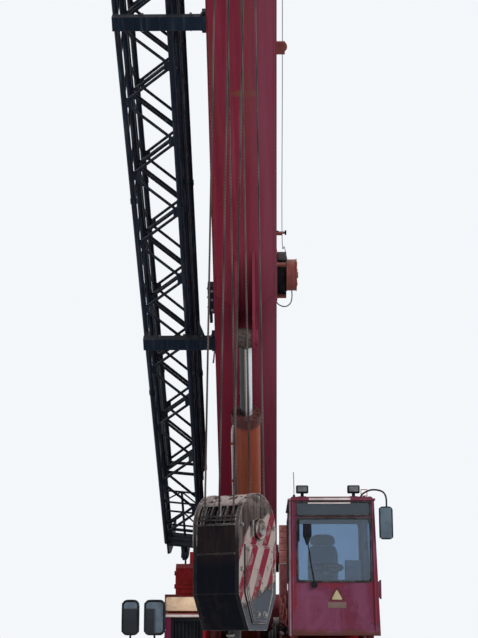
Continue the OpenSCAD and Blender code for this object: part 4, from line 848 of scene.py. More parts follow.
roof_z = 3.108
lamps = bmesh.new()
lenses = bmesh.new()
for x in (0.64, 1.22):
    plate(lamps, about(x, 0.07), (-2.09, -2.02), (3.15, 3.24), edge=0.014)
    plate(lamps, about(x, 0.06), (-2.1, -2.086), (3.158, 3.232), edge=0.006)
    plate(lamps, about(x, 0.018), (-2.062, -2.03), (roof_z, 3.156))
    plate(lamps, about(x, 0.045), (-2.085, -2.005), (roof_z, 3.116), edge=0.002)
    plate(lenses, about(x, 0.052), (-2.104, -2.098), (3.166, 3.224), edge=0.003)
    for k in range(6):
        plate(lamps, about(x - 0.049 + k * 0.018, 0.003), (-2.022, -2.008), (3.16, 3.23), edge=0.001)
rod(lamps, (0.55, -1.9, roof_z), (0.55, -1.9, 3.15), 0.014)
bent_pipe(lamps, [(0.55, -1.9, 3.145), (0.549, -1.9, 3.28), (0.545, -1.898, 3.41)], 0.004, 6, 4)
plate(lamps, (0.735, 0.795), (-2.142, -2.098), (2.105, 2.165), edge=0.01)
rod(lamps, (0.765, -2.13, 2.14), (0.69, -2.128, 2.63), 0.008, 10, 0.006)
rod(lamps, (0.69, -2.124, 2.57), (0.69, -2.124, 2.665), 0.01, 10, 0.046)
plate(lamps, (0.642, 0.738), (-2.134, -2.116), (2.655, 2.805), edge=0.012)
rod(lamps, (0.598, -2.121, 2.61), (0.596, -2.121, 2.85), 0.007, 8)
shield = ((0.489, 3.085), (0.45, 2.94), (0.489, 2.925))
loft(lamps, [[(x, y, z) for x, z in shield] for y in (-2.112, -2.0)])
bent_pipe(lamps, [(1.3, -2.02, 3.112), (1.33, -2.04, 3.15), (1.42, -2.09, 3.185), (1.53, -2.14, 3.165),
                  (1.575, -2.158, 3.1), (1.58, -2.16, 2.985)], 0.01, 10)
rod(lamps, (1.58, -2.158, 2.64), (1.58, -2.158, 2.99), 0.008, 8)
bent_pipe(lamps, [(x, -2.158, z) for x, z in rounded((1.5, 1.64), (2.635, 2.985), 0.035)], 0.008, 8, 2)
lamps_piece = made("cab_fixtures", lamps, dark_trim, "upper")
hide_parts("cab_fittings")
pane = bmesh.new()
plate(pane, (1.506, 1.634), (-2.168, -2.15), (2.64, 2.98), edge=0.008)
made("cab_mirror", pane, mirror_glass, "upper")

lens_glass, tree = new_finish("lamp_lens")
place = placed(tree)
lens_ribs = step(tree, "TexWave", {"Vector": place, "Scale": 30.0, "Distortion": 0.3}).outputs[0]
lens_dirt = cut(tree, speckle(tree, place, 20.0), 0.4, 0.7)
look(tree, tinted(tree, lens_dirt, (0.13, 0.135, 0.15), (0.06, 0.055, 0.05)), 0.15,
     relief=(lens_ribs, 0.4, 0.002))
made("lamp_lenses", lenses, lens_glass, "upper")

bracket = bmesh.new()
for x, z in (((1.3, 1.375), (3.118, 3.124)), ((1.3, 1.375), (3.186, 3.194)), ((1.3, 1.307), (3.118, 3.194)),
             ((1.368, 1.375), (3.118, 3.194))):
    plate(bracket, x, (-2.075, -2.055), z, edge=0.002)
plate(bracket, (1.325, 1.35), (-2.075, -2.045), (3.106, 3.12), edge=0.002)
made("roof_bracket", bracket, house_paint, "upper")

sign_x = 1.012
sign_red = paint("sign_red", (0.075, 0.01, 0.014), (0.11, 0.022, 0.024), rust=0.3, dust=0.2, gloss=0.5)
sign_cream = paint("sign_cream", (0.42, 0.34, 0.2), (0.5, 0.42, 0.28), rust=0.45, dust=0.3, gloss=0.45)
for sign_name, half, low, high, proud, sign_paint in (
        ("sign_border", 0.094, 1.955, 2.118, 0.004, sign_red),
        ("sign_field", 0.064, 1.97, 2.084, 0.006, sign_cream)):
    sign = bmesh.new()
    loft(sign, [[(sign_x + dx, y, z) for dx, z in ((-half, low), (half, low), (0.0, high))]
                for y in (cab_y[0] - proud, cab_y[0] + 0.001)])
    bmesh.ops.bevel(sign, geom=[e for e in sign.edges if abs(e.verts[0].co.y - e.verts[1].co.y) > 0.001],
                    offset=0.01, segments=3, affect="EDGES")
    made(sign_name, sign, sign_paint, "upper")
board = bmesh.new()
plate(board, about(sign_x, 0.102), (cab_y[0] - 0.003, cab_y[0] + 0.001), (1.878, 1.944), edge=0.0015)
sign_brown = paint("sign_brown", (0.15, 0.095, 0.082), (0.235, 0.165, 0.13), rust=0.7, dust=0.3, gloss=0.5)
made("sign_plate", board, sign_brown, "upper")


# Inside the cab
# Grey cloth seat on a suspension base, its cushion and back crowned and sewn in panels, with side
# consoles and levers, a black-rimmed wheel on its column, pedals and a ribbed floor mat.
seat_x = 0.91
seat_cloth, tree = new_finish("seat_cloth_worn")
place = placed(tree)
threads = [step(tree, "TexWave", {"Vector": place, "Scale": 60.0, "Distortion": 1.0},
                bands_direction=way).outputs[0] for way in "XZ"]
weave = times(tree, *threads)
colour = tinted(tree, spots(tree, place, (4.0, 6.0), 0.38, 0.7), (0.26, 0.31, 0.4), (0.34, 0.37, 0.44))
look(tree, tinted(tree, times(tree, weave, 0.5), colour, (0.22, 0.23, 0.26)), 0.9,
     relief=(weave, 0.35, 0.001))
tree.nodes["Principled BSDF"].inputs["Sheen Weight"].default_value = 0.25


def soft_pad(name, wide, y, z, seams, seam_axis, cap, lean_back=0.0, hinge=(0, 0, 0), shoulder=0.0):
    """Cushion blown up by a short cloth run from a smaller block, then sewn down along its seams."""
    low, high = (seat_x - wide, y[0], z[0]), (seat_x + wide, y[1], z[1])
    block = bmesh.new()
    plate(block, (low[0], high[0]), y, z, edge=0.028)
    data = bpy.data.meshes.new(name)
    block.to_mesh(data)
    block.free()
    pad = bpy.data.objects.new(name, data)
    bpy.context.scene.collection.objects.link(pad)
    voxels = pad.modifiers.new("voxels", "REMESH")
    voxels.mode = "VOXEL"
    voxels.voxel_size = 0.014
    last_frame = 18
    even = bpy.data.meshes.new_from_object(pad.evaluated_get(bpy.context.evaluated_depsgraph_get()))
    pad.modifiers.clear()
    pad.data = even
    start = [v.co.copy() for v in even.vertices]
    blow = pad.modifiers.new("blow", "CLOTH")
    blow.settings.quality = 4
    blow.settings.use_pressure = True
    blow.settings.uniform_pressure_force = 4.0
    blow.settings.effector_weights.gravity = 0.0
    for moment in range(1, last_frame + 1):
        bpy.context.scene.frame_set(moment)
    swollen = bpy.data.meshes.new_from_object(pad.evaluated_get(bpy.context.evaluated_depsgraph_get()))
    pad.modifiers.clear()
    for v, old, new in zip(even.vertices, start, swollen.vertices):
        move = new.co - old
        v.co = old + move * min(1.0, cap / max(move.length, 1e-6))
    bpy.context.scene.frame_set(1)
    centre = [(a + b) / 2 for a, b in zip(low, high)]
    half = [(b - a) / 2 for a, b in zip(low, high)]
    hinge = Vector(hinge)
    turn = Matrix.Translation(hinge) @ Matrix.Rotation(lean_back, 4, "X") @ Matrix.Translation(-hinge)
    seam_width, seam_pull, round_from, round_pull, narrow = 0.009, 0.16, 0.55, 1.1, 0.52
    thin = 1 if seam_axis == 2 else 2
    for v in even.vertices:
        toward = centre[thin] - v.co[thin]
        for across, place in seams:
            v.co[thin] += toward * seam_pull * math.exp(-((v.co[across] - place) / seam_width) ** 2)
        for axis in range(3):
            if axis != thin:
                ratio = abs(v.co[axis] - centre[axis]) / half[axis]
                v.co[thin] += toward * round_pull * max(0.0, ratio - round_from) ** 2
        if shoulder and v.co.z > high[2] - shoulder:
            rise = min(1.0, (v.co.z - high[2] + shoulder) / shoulder)
            share = narrow + (1.0 - narrow) * math.sqrt(1.0 - 0.999 * rise * rise)
            v.co.x = centre[0] + (v.co.x - centre[0]) * share
        v.co = turn @ v.co
    even.polygons.foreach_set("use_smooth", [True] * len(even.polygons))
    even.materials.clear()
    even.materials.append(seat_cloth)
    finer = pad.modifiers.new("finer", "SUBSURF")
    finer.levels = finer.render_levels = 1
    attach(pad, "upper")
    return pad


cushion = soft_pad("seat_cushion", 0.225, (-1.4, -0.925), (1.885, 1.995),
                   [(0, seat_x - 0.13), (0, seat_x + 0.13), (1, -1.16)], 1, 0.014)
backrest = soft_pad("seat_back", 0.195, (-0.99, -0.91), (2.01, 2.66),
                    [(0, seat_x - 0.115), (0, seat_x + 0.115), (2, 2.24), (2, 2.45)], 2, 0.014,
                    math.radians(-7.5), (seat_x, -0.95, 2.0), 0.17)
soft_pad("seat_headrest", 0.15, (-0.895, -0.825), (2.64, 2.775), [(0, seat_x)], 0, 0.01, shoulder=0.08)
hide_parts("seat")
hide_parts("seat")

seat_base = bmesh.new()
plate(seat_base, about(seat_x, 0.15), (-1.3, -1.0), (1.6253, 1.66), edge=0.006)
plate(seat_base, about(seat_x, 0.145), (-1.29, -1.01), (1.84, 1.884), edge=0.008)
for i in range(7):
    z = 1.668 + i * 0.025
    wide = 0.128 if i % 2 else 0.142
    plate(seat_base, about(seat_x, wide), about(-1.15, wide), (z, z + 0.02), edge=0.008)
plate(seat_base, about(seat_x, 0.17), (-0.915, -0.895), (1.9, 2.08), edge=0.006)
bent_pipe(seat_base, [(seat_x + 0.15, -1.25, 1.86), (seat_x + 0.2, -1.36, 1.87),
                      (seat_x + 0.205, -1.42, 1.88)], 0.009)
for side in (-1, 1):
    rod(seat_base, (seat_x + side * 0.06, -0.872, 2.56), (seat_x + side * 0.06, -0.858, 2.7), 0.007, 10)
base_piece = made("seat_base", seat_base, dark_trim, "upper")
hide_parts("seat")

coat(dark_trim, "steering")
controls = bmesh.new()
for x in (0.59, 1.23):
    rod(controls, (x, -1.36, 2.183), (x, -1.39, 2.3), 0.008, 8)
    rod(controls, (x, -1.385, 2.285), (x, -1.41, 2.375), 0.019, 12, 0.024)
    for knob_x in (x - 0.025, x, x + 0.025):
        rod(controls, (knob_x, -1.22, 2.184), (knob_x, -1.22, 2.205), 0.008, 8)
for x in (0.8, 1.02):
    plate(controls, about(x, 0.045), (-1.94, -1.8), (1.69, 1.705))
    rod(controls, (x, -1.8, 1.64), (x, -1.84, 1.695), 0.01, 8)
rod(controls, (0.995, -1.7, 2.28), (1.095, -1.66, 2.33), 0.007, 8)
for k in range(14):
    y = -1.98 + k * 0.045
    plate(controls, (0.56, 1.3), (y, y + 0.025), (1.6255, 1.633), edge=0.002)
made("cab_controls", controls, dark_trim, "upper")
panel = bmesh.new()
plate(panel, (1.12, 1.295), (-1.995, -1.805), (2.12, 2.409), edge=0.01)
plate(panel, (0.87, 0.955), (-1.8, -1.785), (2.255, 2.29), edge=0.003)
box_grey = paint("box_grey", (0.5, 0.53, 0.6), (0.64, 0.66, 0.72), rust=0.1, dust=0.2, gloss=0.5)
made("gauge_box", panel, box_grey, "upper")

latch = bmesh.new()
plate(latch, (1.335, 1.362), (-2.03, -2.018), (2.52, 2.61), edge=0.003)
made("cab_latch", latch, dark_trim, "upper")


# Telescopic boom
# Three welded box sections that slide in each other: thick plate with bent corners, a doubler plate
# under the front half, a collar at each mouth. Deep red paint with long runs, rubbed and rusting.
luff = math.radians(-45.0)
boom_foot = (0.0, 1.2, 2.6)
boom = Matrix.Translation(boom_foot) @ Matrix.Rotation(luff, 4, "X")
base_web, base_high, collar_t, doubler_n = 0.345, 0.45, 10.135, -0.462
boom_paint = paint("boom_paint", (0.19, 0.009, 0.027), (0.212, 0.016, 0.04), rust=0.4, dust=0.4, gloss=0.46,
                   turn=(luff, 0, 0), along=(7, 0.3, 7), edge=0.55, shine=0.16)
tree = boom_paint.node_tree
boom_spot = parts(tree, placed(tree, (luff, 0, 0), shift=boom_foot))
colour = colour_of(tree)
scuff = times(tree, band(tree, boom_spot[1], -6.96, -6.9, 0.02), band(tree, boom_spot[0], -0.1, 0.17, 0.04))
scuff = times(tree, scuff, spots(tree, placed(tree), (26.0, 6.0), 0.36, 0.5, 0.2, 0.9))
colour = tinted(tree, scuff, colour, (0.16, 0.055, 0.022))
brown_runs = speckle(tree, placed(tree, (luff, 0, 0), (2.6, 0.2, 2.6)), 1.3, 5.0, 0.6)
under_front = cut(tree, boom_spot[1], -4.3, -6.0)
brown = times(tree, cut(tree, brown_runs, 0.52, 0.68, 0.0, 0.75), under_front)
colour = tinted(tree, brown, colour, (0.155, 0.048, 0.03))
off_middle = maths(tree, "ABSOLUTE", boom_spot[0])
doubler_edge = maths(tree, "ADD", cut(tree, off_middle, 0.108, 0.345, 0.0, 0.218), boom_spot[1])
low_part = cut(tree, doubler_edge, -4.235, -4.222, 0.0, 0.7)
colour = tinted(tree, low_part, colour, (0.15, 0.01, 0.026))
# Paler right half of the boom's underside: sun-faded paint with painted sunlight on it.
faded_and_sunlit_side = times(tree, cut(tree, boom_spot[0], 0.02, 0.24, 0.0, 0.72),
                 spots(tree, placed(tree, (luff, 0, 0), (5, 0.4, 5)), (1.2, 5.0), 0.3, 0.62, 0.4, 1.0))
look(tree, tinted(tree, faded_and_sunlit_side, colour, (0.235, 0.06, 0.098)))
coat(boom_paint, "boom_base", "boom_middle", "boom_inner", "boom_head")

beads = bmesh.new()
for side in (-1, 1):
    for n in (-0.431, 0.431):
        weld(beads, (side * (base_web + 0.001), -0.35, n), (side * (base_web + 0.001), -10.06, n), 0.008,
             0.035, boom)
    weld(beads, (side * 0.342, -4.45, doubler_n), (side * 0.342, -10.03, doubler_n), 0.006, 0.035, boom)
    weld(beads, (side * 0.108, -4.23, doubler_n), (side * 0.336, -4.44, doubler_n), 0.006, 0.03, boom)
    weld(beads, (side * 0.122, -4.02, -0.452), (side * 0.122, -4.18, -0.452), 0.008, 0.02, boom)
made("boom_welds", beads, boom_paint, "boom")

bolts = bmesh.new()
for side in (-1, 1):
    for n in (-0.3, -0.12, 0.12, 0.3):
        bolt_row(bolts, [(side * (base_web + 0.04), -collar_t, n)], (side, 0, 0), 0.016, 0.014, boom)
    for x in (0.1, 0.24):
        for up in (-1, 1):
            bolt_row(bolts, [(side * x, -collar_t, up * (base_high + 0.038))], (0, 0, up), 0.016, 0.014,
                     boom)
    for t in (2.3, 2.9, 7.1, 7.7):
        bolt_row(bolts, [(side * (base_web + 0.001), -t, n) for n in (-0.2, 0.2)], (side, 0, 0), 0.013,
                 0.011, boom)
made("collar_bolts", bolts, bare_steel, "boom")

fittings = bmesh.new()
for side in (1, -1):
    plate(fittings, (side * base_web, side * (base_web + 0.01)), (-3.3, -2.95), (-0.12, 0.12), boom, 0.003)
plate(fittings, (base_web, base_web + 0.15), (-9.02, -8.9), (-0.4, -0.33), boom)
plate(fittings, (base_web, base_web + 0.006), (-9.1, -8.82), (-0.42, -0.3), boom, 0.003)
made("boom_fittings", fittings, boom_paint, "boom")
hook = bmesh.new()
rod(hook, (0.485, -8.96, -0.33), (0.485, -8.96, -0.27), 0.01, 10, place=boom)
bent_pipe(hook, [(0.485, -8.96, -0.275), (0.51, -8.96, -0.245), (0.54, -8.96, -0.255),
                 (0.535, -8.96, -0.285)], 0.009, 8, 6, boom)
made("boom_side_hook", hook, dark_trim, "boom")

nylon, tree = new_finish("pad_nylon_worn")
place = placed(tree)
soiled = spots(tree, place, (9.0, 7.0), 0.4, 0.66)
look(tree, tinted(tree, soiled, (0.46, 0.43, 0.34), (0.16, 0.14, 0.11)), 0.45,
     relief=(speckle(tree, place, 90.0), 0.2, 0.001))
coat(nylon, "wear_pads", "inner_wear_pads")

cast_steel = paint("cast_steel", (0.1, 0.105, 0.11), (0.17, 0.17, 0.17), rust=0.9, dust=0.5, gloss=0.5)
coat(cast_steel, "head_sheaves", "block_sheaves")


# Length sensor's reel
# A spring drum of painted sheet on a steel bracket, from which a thin cable runs along the boom's
# side through two guide rollers and out to the head, to tell how far the boom is drawn out.
reel_t, guide_t, guide_n = 4.44, 5.02, -0.021
reel_paint = paint("reel_paint", (0.165, 0.035, 0.03), (0.24, 0.075, 0.055), rust=0.95, dust=0.4, gloss=0.5)
coat(reel_paint, "cable_reel")
reel = bmesh.new()
for x in (0.487, 0.598):
    rim = ring_at((x, -reel_t, 0), 0.186, 24)
    bent_pipe(reel, rim + rim[:1], 0.007, 6, 1, boom)
for low, high in zip(ring_at((0.6, -reel_t, 0), 0.05, 5), ring_at((0.606, -reel_t, 0), 0.155, 5)):
    rod(reel, low, high, 0.008, 8, place=boom)
rod(reel, (0.598, -reel_t, 0.0), (0.622, -reel_t, 0.0), 0.045, 20, 0.036, boom)
made("reel_rims", reel, reel_paint, "boom")
bracket = bmesh.new()
for x, y in (((0.376, 0.48), (-4.21, -4.18)), ((0.376, 0.48), (-4.7, -4.67)),
             ((0.472, 0.482), (-4.7, -4.18))):
    plate(bracket, x, y, (-0.1, 0.1), boom)
for n in (-0.1, 0.09):
    plate(bracket, (0.376, 0.48), (-4.68, -4.2), (n, n + 0.01), boom, 0.003)
bolt_row(bracket, [(0.3753, t, n) for t in (-4.24, -4.64) for n in (-0.13, 0.13)], (1, 0, 0), 0.011, 0.01,
         boom)
rod(bracket, (0.35, -guide_t, guide_n), (0.392, -guide_t, guide_n), 0.024, 16, place=boom)
rod(bracket, (0.462, -guide_t, guide_n), (0.48, -guide_t, guide_n), 0.028, 16, place=boom)
made("reel_frame", bracket, dark_trim, "boom")
roller = bmesh.new()
rod(roller, (0.392, -guide_t, guide_n), (0.462, -guide_t, guide_n), 0.015, 16, place=boom)
made("reel_guide", roller, bare_steel, "boom")
cable = bmesh.new()
bent_pipe(cable, [(0.35, -4.12, -0.05), (0.4, -4.08, -0.09), (0.47, -4.07, -0.11), (0.53, -4.11, -0.1),
                  (0.55, -4.18, -0.05), (0.54, -4.3, 0.0)], 0.007, 8, 8, boom)
for t in (2.9, 3.3, 3.7, 4.05):
    plate(cable, (0.344, 0.362), about(-t, 0.02), (-0.065, -0.035), boom, 0.003)
bent_pipe(cable, [(0.354, -0.9, -0.05), (0.354, -2.0, -0.05), (0.354, -3.2, -0.05), (0.352, -4.12, -0.05)],
          0.006, 8, 4, boom)
made("reel_lead", cable, rubber, "boom")

sensor_x = 0.43
sensor = bmesh.new()
bent_pipe(sensor, [(0.5, -4.58, 0.05), (0.46, -4.8, 0.03), (sensor_x, -guide_t, 0.0),
                   (sensor_x, -7.28, 0.0), (0.42, -collar_t, 0.0)], 0.004, 6, 6, boom)
made("sensor_cable", sensor, rubber, "boom")
for cable_name, one, two, t0, t1, x0, x1 in (
        ("sensor_cable_middle", "boom", "middle_section", collar_t, 10.45, 0.42, 0.36),
        ("sensor_cable_inner", "middle_section", "inner_section", 10.45, 10.75, 0.36, 0.29)):
    sensor = bmesh.new()
    for k in range(12):
        a, b = k / 12, (k + 1) / 12
        rod(sensor, (x0 + (x1 - x0) * a, -t0 - (t1 - t0) * a, 0.0),
            (x0 + (x1 - x0) * b, -t0 - (t1 - t0) * b, 0.0), 0.004, 6, place=boom)
    bmesh.ops.remove_doubles(sensor, verts=sensor.verts[:], dist=0.0004)
    stretch = made(cable_name, sensor, rubber, None)
    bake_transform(stretch)
for lug_name, body, x, t in (("sensor_lug_middle", "middle_section", (0.284, 0.372), 10.44),
                             ("sensor_lug_inner", "inner_section", (0.224, 0.302), 10.74),
                             ("sensor_lug_base", "boom", (0.38, 0.432), 10.12)):
    lug = bmesh.new()
    plate(lug, x, (-t - 0.03, -t), (-0.02, 0.02), boom)
    made(lug_name, lug, boom_paint, body)


# Lift cylinder
# A steel barrel in orange-brown paint that has rusted and run, with a bolted gland, a feed pipe in clamps
# along its side, and a ground chrome rod that shows streaks of grease, with painted shade on one half and a
# beige and a dark painted reflection line along it.
lift_turn = math.radians(-46.8)
lift_foot = (0.0, 0.75, 1.65)
lift = Matrix.Translation(lift_foot) @ Matrix.Rotation(lift_turn, 4, "X")
gland_u, barrel_r, gland_r = 3.4256, 0.165, 0.179
barrel_paint = paint("barrel_paint", (0.205, 0.038, 0.018), (0.24, 0.062, 0.03), rust=0.9, dust=0.4,
                     gloss=0.5, turn=(lift_turn, 0, 0), along=(12, 0.5, 12), shine=0.2)
tree = barrel_paint.node_tree
barrel_along = parts(tree, placed(tree, (lift_turn, 0, 0), shift=lift_foot))[1]
gland_dirt = times(tree, cut(tree, barrel_along, -gland_u + 0.16, -gland_u + 0.1),
                   spots(tree, placed(tree), (18.0, 6.0), 0.3, 0.46, 0.6, 0.95))
look(tree, tinted(tree, gland_dirt, colour_of(tree), (0.062, 0.02, 0.02)))
coat(barrel_paint, "lift_barrel")
pipes = bmesh.new()
bent_pipe(pipes, [(-0.1, -0.3, -0.125), (-0.15, -0.42, -0.11), (-0.17, -0.6, -0.08), (-0.17, -1.6, -0.08),
                  (-0.17, -2.6, -0.08), (-0.17, -3.15, -0.08), (-0.155, -3.28, -0.06),
                  (-0.12, -3.33, -0.03)], 0.013, 10, 6, lift)
made("lift_pipe", pipes, lip_paint, "barrel")
clamps = bmesh.new()
for t in (0.75, 1.6, 2.5, 3.05):
    rod(clamps, (0, -t - 0.012, 0), (0, -t + 0.012, 0), barrel_r + 0.002, 48, place=lift)
    plate(clamps, (-0.19, -0.14), about(-t, 0.016), (-0.105, -0.055), lift)
gland_bolts = ring_at((0, -gland_u, 0), 0.148, 24, (1, 0, 0))[1::2]
bolt_row(clamps, gland_bolts, (0, -1, 0), 0.013, 0.014, lift)
for p in ring_at((0, -gland_u + 0.012, 0), gland_r - 0.007, 24, (1, 0, 0)):
    rod(clamps, p + Vector((0, 0.068, 0)), p, 0.01, 8, place=lift)
made("lift_clamps", clamps, barrel_paint, "barrel")

chrome, tree = new_finish("ground_chrome")
place = placed(tree, (lift_turn, 0, 0), (16, 0.6, 16))
grease = spots(tree, place, (1.5, 5.0, 0.6), 0.52, 0.64, 0.0, 0.8)
colour = tinted(tree, grease, (0.62, 0.68, 0.69), (0.16, 0.15, 0.15))
across, along, _ = parts(tree, placed(tree, (lift_turn, 0, 0), shift=lift_foot))
eye_end = cut(tree, along, -4.345, -4.36)
eye_colour = tinted(tree, spots(tree, placed(tree), (30.0, 7.0, 0.7), 0.42, 0.62), (0.016, 0.012, 0.011),
                    (0.09, 0.06, 0.048))
# Painted shade darkens the rod's left half; a beige line and a dark line along it are painted reflections.
colour = tinted(tree, cut(tree, across, 0.0, -0.012, 0.0, 0.95), colour, (0.012, 0.01, 0.009))
colour = tinted(tree, band(tree, across, -0.012, 0.004, 0.005), colour, (0.26, 0.17, 0.13))
colour = tinted(tree, band(tree, across, 0.012, 0.026, 0.005), colour, (0.03, 0.026, 0.034))
dull = maths(tree, "MAXIMUM", cut(tree, grease, 0.0, 0.8, 0.24, 0.5), eye_end)
look(tree, tinted(tree, eye_end, colour, eye_colour), cut(tree, dull, 0.0, 1.0, 0.0, 0.75),
     cut(tree, eye_end, 0.0, 1.0, 0.5, 0.1))
coat(chrome, "lift_rod")


# Stowed lattice jib
# Two welded halves of four tube chords with zigzag tubes on every face, folded on each other and
# carried on two beams at the boom's side, with closer bars and two pin ears at the foot. Nearly
# black paint, chalky on top, bare where it rubs.
jib_place = (boom @ Matrix.Translation((-0.83, -0.45, 0.0)) @ Matrix.Rotation(math.radians(-1.2), 4, "Z")
             @ Matrix.Rotation(math.radians(10.0), 4, "Y"))
jib_length, jib_start, jib_end, jib_panels = 9.2, 0.165, 8.925, 20
chord_r = 0.032
jib_paint = paint("jib_paint", (0.004, 0.01, 0.021), (0.008, 0.017, 0.032), rust=0.35, dust=0.16, gloss=0.5,
                  turn=(luff, 0, 0), along=(14, 1.2, 14), edge=0.35, shine=0.1)
tree = jib_paint.node_tree
# Pale bluish streaks along the jib: dust that also serves as painted highlights along the chords.
jib_dust_and_highlight_streaks = speckle(tree, placed(tree, (luff, 0, 0), (26, 0.9, 26)), 1.4, 5.0, 0.6)
look(tree, tinted(tree, cut(tree, jib_dust_and_highlight_streaks, 0.6, 0.68, 0.0, 0.55), colour_of(tree), (0.1, 0.115, 0.14)))
coat(jib_paint, "jib", "jib_extension", "jib_brackets")


def jib_half(s):
    """Half the width over the chords' middles at a place along the jib."""
    return (0.456 + (0.604 - 0.456) * s / jib_length) / 2


def panel_place(k):
    """Place along the jib of a panel point."""
    return jib_start + k * (jib_end - jib_start) / jib_panels


gussets = bmesh.new()
for k in range(jib_panels + 1):
    s = panel_place(k)
    side = -1 if k % 2 == 0 else 1
    half = jib_half(s)
    for up in (-1, 1):
        if up > 0 and (k < 3 or s > 8.6):
            continue
        x = side * half
        plate(gussets, (x - side * 0.018, x - side * 0.085), about(-s, 0.055),
              (up * half - 0.006, up * half + 0.006), jib_place, 0.002)
        weld(gussets, (x - side * 0.03, -s - 0.05, up * (half + 0.008)),
             (x - side * 0.03, -s + 0.05, up * (half + 0.008)), 0.006, 0.014, jib_place)
for s in (2.45, 5.1, 7.75):
    half = jib_half(s)
    for side in (-1, 1):
        for z in (-half, half):
            rod(gussets, (side * half, -s - 0.03, z), (side * half, -s + 0.03, z), chord_r + 0.007, 16,
                place=jib_place)
beam_gusset = ((-0.56, -3.74), (-0.455, -3.74), (-0.56, -4.06))
loft(gussets, [[(x, y, n) for x, y in beam_gusset] for n in (-0.372, -0.392)], boom)
foot_bars = (0.33, 0.56, 0.71, 0.9)
for s in foot_bars:
    half = jib_half(s)
    rod(gussets, (-half, -s, -half), (half, -s, -half), 0.013, 10, place=jib_place)
half = jib_half(0.5)
stem_x = 0.03
rod(gussets, (stem_x, -foot_bars[-1], -half), (stem_x, -jib_start, -half), 0.016, 10, place=jib_place)
for low, high in (foot_bars[:2], foot_bars[2:]):
    for x in (-half, half):
        rod(gussets, (x, -low, -half), (stem_x, -high, -half), 0.01, 8, place=jib_place)
foot_ear = ((-0.02, -0.245), (0.185, -0.24), (0.24, -0.15), (0.24, 0.06), (0.06, 0.2), (-0.02, 0.24))
for side in (-1, 1):
    loft(gussets, [[(side * x, y, z) for y, z in foot_ear] for x in (0.202, 0.228)], jib_place)
made("jib_gussets", gussets, jib_paint, "boom")

hardware = bmesh.new()
for t in (3.76, 7.701):
    bolt_row(hardware, [(-0.407, -t - dt, -0.4) for dt in (-0.085, 0.085)], (-1, 0, 0), 0.014, 0.012, boom)
    for x in (-0.52, -1.02):
        rod(hardware, (x, -t - 0.095, -0.4), (x, -t + 0.095, -0.4), 0.014, place=boom)
        rod(hardware, (x, -t + 0.075, -0.418), (x, -t + 0.075, -0.47), 0.004, 6, place=boom)
    bolt_row(hardware, [(x, -t + 0.0765, -0.42) for x in (-0.6, -0.75, -0.9)], (0, 1, 0), 0.012, 0.01, boom)
rod(hardware, (-0.372, -3.66, -0.44), (-0.392, -3.5, -0.46), 0.01, 8, place=boom)
for t in (4.1, 4.24, 4.36):
    bolt_row(hardware, [(-0.446, -t, -0.17)], (-1, 0, 0), 0.012, 0.01, boom)
    rod(hardware, (-0.395, -t, -0.234), (-0.395, -t, -0.228), 0.018, place=boom)
made("jib_hardware", hardware, bare_steel, "boom")


# Hoist rope and its falls
# Six-strand wire rope, greased and brown with dust: from the drum up behind the boom's foot, over
# the guide rollers along the boom's top, round the head sheaves and down in six falls to the block.
rope_r = 0.0078
head_y, head_z = -7.122647, 10.045834
block_z = 2.365
sheave_pitch, fall_reach = 0.125, 0.2305
fall_wire, tree = new_finish("brown_rope")
colour = tinted(tree, spots(tree, placed(tree, scale=(30, 30, 2.5)), (1.0, 6.0), 0.4, 0.62),
                (0.026, 0.02, 0.021), (0.11, 0.075, 0.072))
strands = step(tree, "TexWave", {"Vector": placed(tree), "Scale": 22.0, "Distortion": 0.0},
               bands_direction="DIAGONAL").outputs[0]
look(tree, tinted(tree, cut(tree, strands, 0.0, 0.35, 0.45, 0.0), colour, (0.03, 0.022, 0.02)), 0.55, 0.3,
     0.15, (strands, 0.6, 0.003))

falls = bmesh.new()
falls_top = bmesh.new()
swing = math.radians(-30.0)
under_sheaves = head_z - 0.27
for i in (-1, 0, 1):
    for side in (-1, 1):
        x, y = i * sheave_pitch, side * fall_reach
        low = (x * math.cos(swing) - y * math.sin(swing),
               head_y + x * math.sin(swing) + y * math.cos(swing), block_z)
        rod(falls, low, (x, head_y + y, under_sheaves), rope_r)
        rod(falls_top, (x, head_y + y, under_sheaves - 0.004), (x, head_y + y, head_z), rope_r)
falls_piece = made("hoist_ropes", falls, fall_wire, None)
top_piece = made("hoist_ropes_top", falls_top, fall_wire, "falls")
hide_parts("hoist_falls")
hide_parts("hoist_falls")
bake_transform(falls_piece)

rope_t, middle_t, inner_t = 9.9, 10.42, 10.74
rope_n, middle_n, inner_n = 0.592, 0.61, 0.622
lead = bmesh.new()
drum_leave = (0.0, 2.198, 1.883)
rear_guide = tuple(boom @ Vector((0.0, -0.8, rope_n)))
rod(lead, drum_leave, rear_guide, rope_r)
lead_piece = made("rope_lead", lead, fall_wire, None)
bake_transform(lead_piece)
top_rope = bmesh.new()
bent_pipe(top_rope, [(0.0, -0.8, rope_n), (0.0, -2.5, rope_n), (0.0, -5.3, rope_n), (0.0, -rope_t, rope_n)],
          rope_r, 10, 2, boom)
made("rope_on_boom", top_rope, fall_wire, "boom")
for rope_name, one, two, t0, t1, n0, n1 in (
        ("rope_to_middle", "boom", "middle_section", rope_t, middle_t, rope_n, middle_n),
        ("rope_to_inner", "middle_section", "inner_section", middle_t, inner_t, middle_n, inner_n)):
    stretch = bmesh.new()
    rod(stretch, (0.0, -t0, n0), (0.0, -t1, n1), rope_r, place=boom)
    stretch_piece = made(rope_name, stretch, fall_wire, None)
    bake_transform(stretch_piece)
head_rope = bmesh.new()
points = [(0.0, -inner_t, inner_n), (0.0, -11.0, 0.632)]
for a in range(90, -1, -15):
    points.append((0.0, -11.25 - 0.21 * math.cos(math.radians(a)), 0.43 + 0.21 * math.sin(math.radians(a))))
points += [(0.0, -11.46, 0.1), (0.0, -11.4, -0.5)]
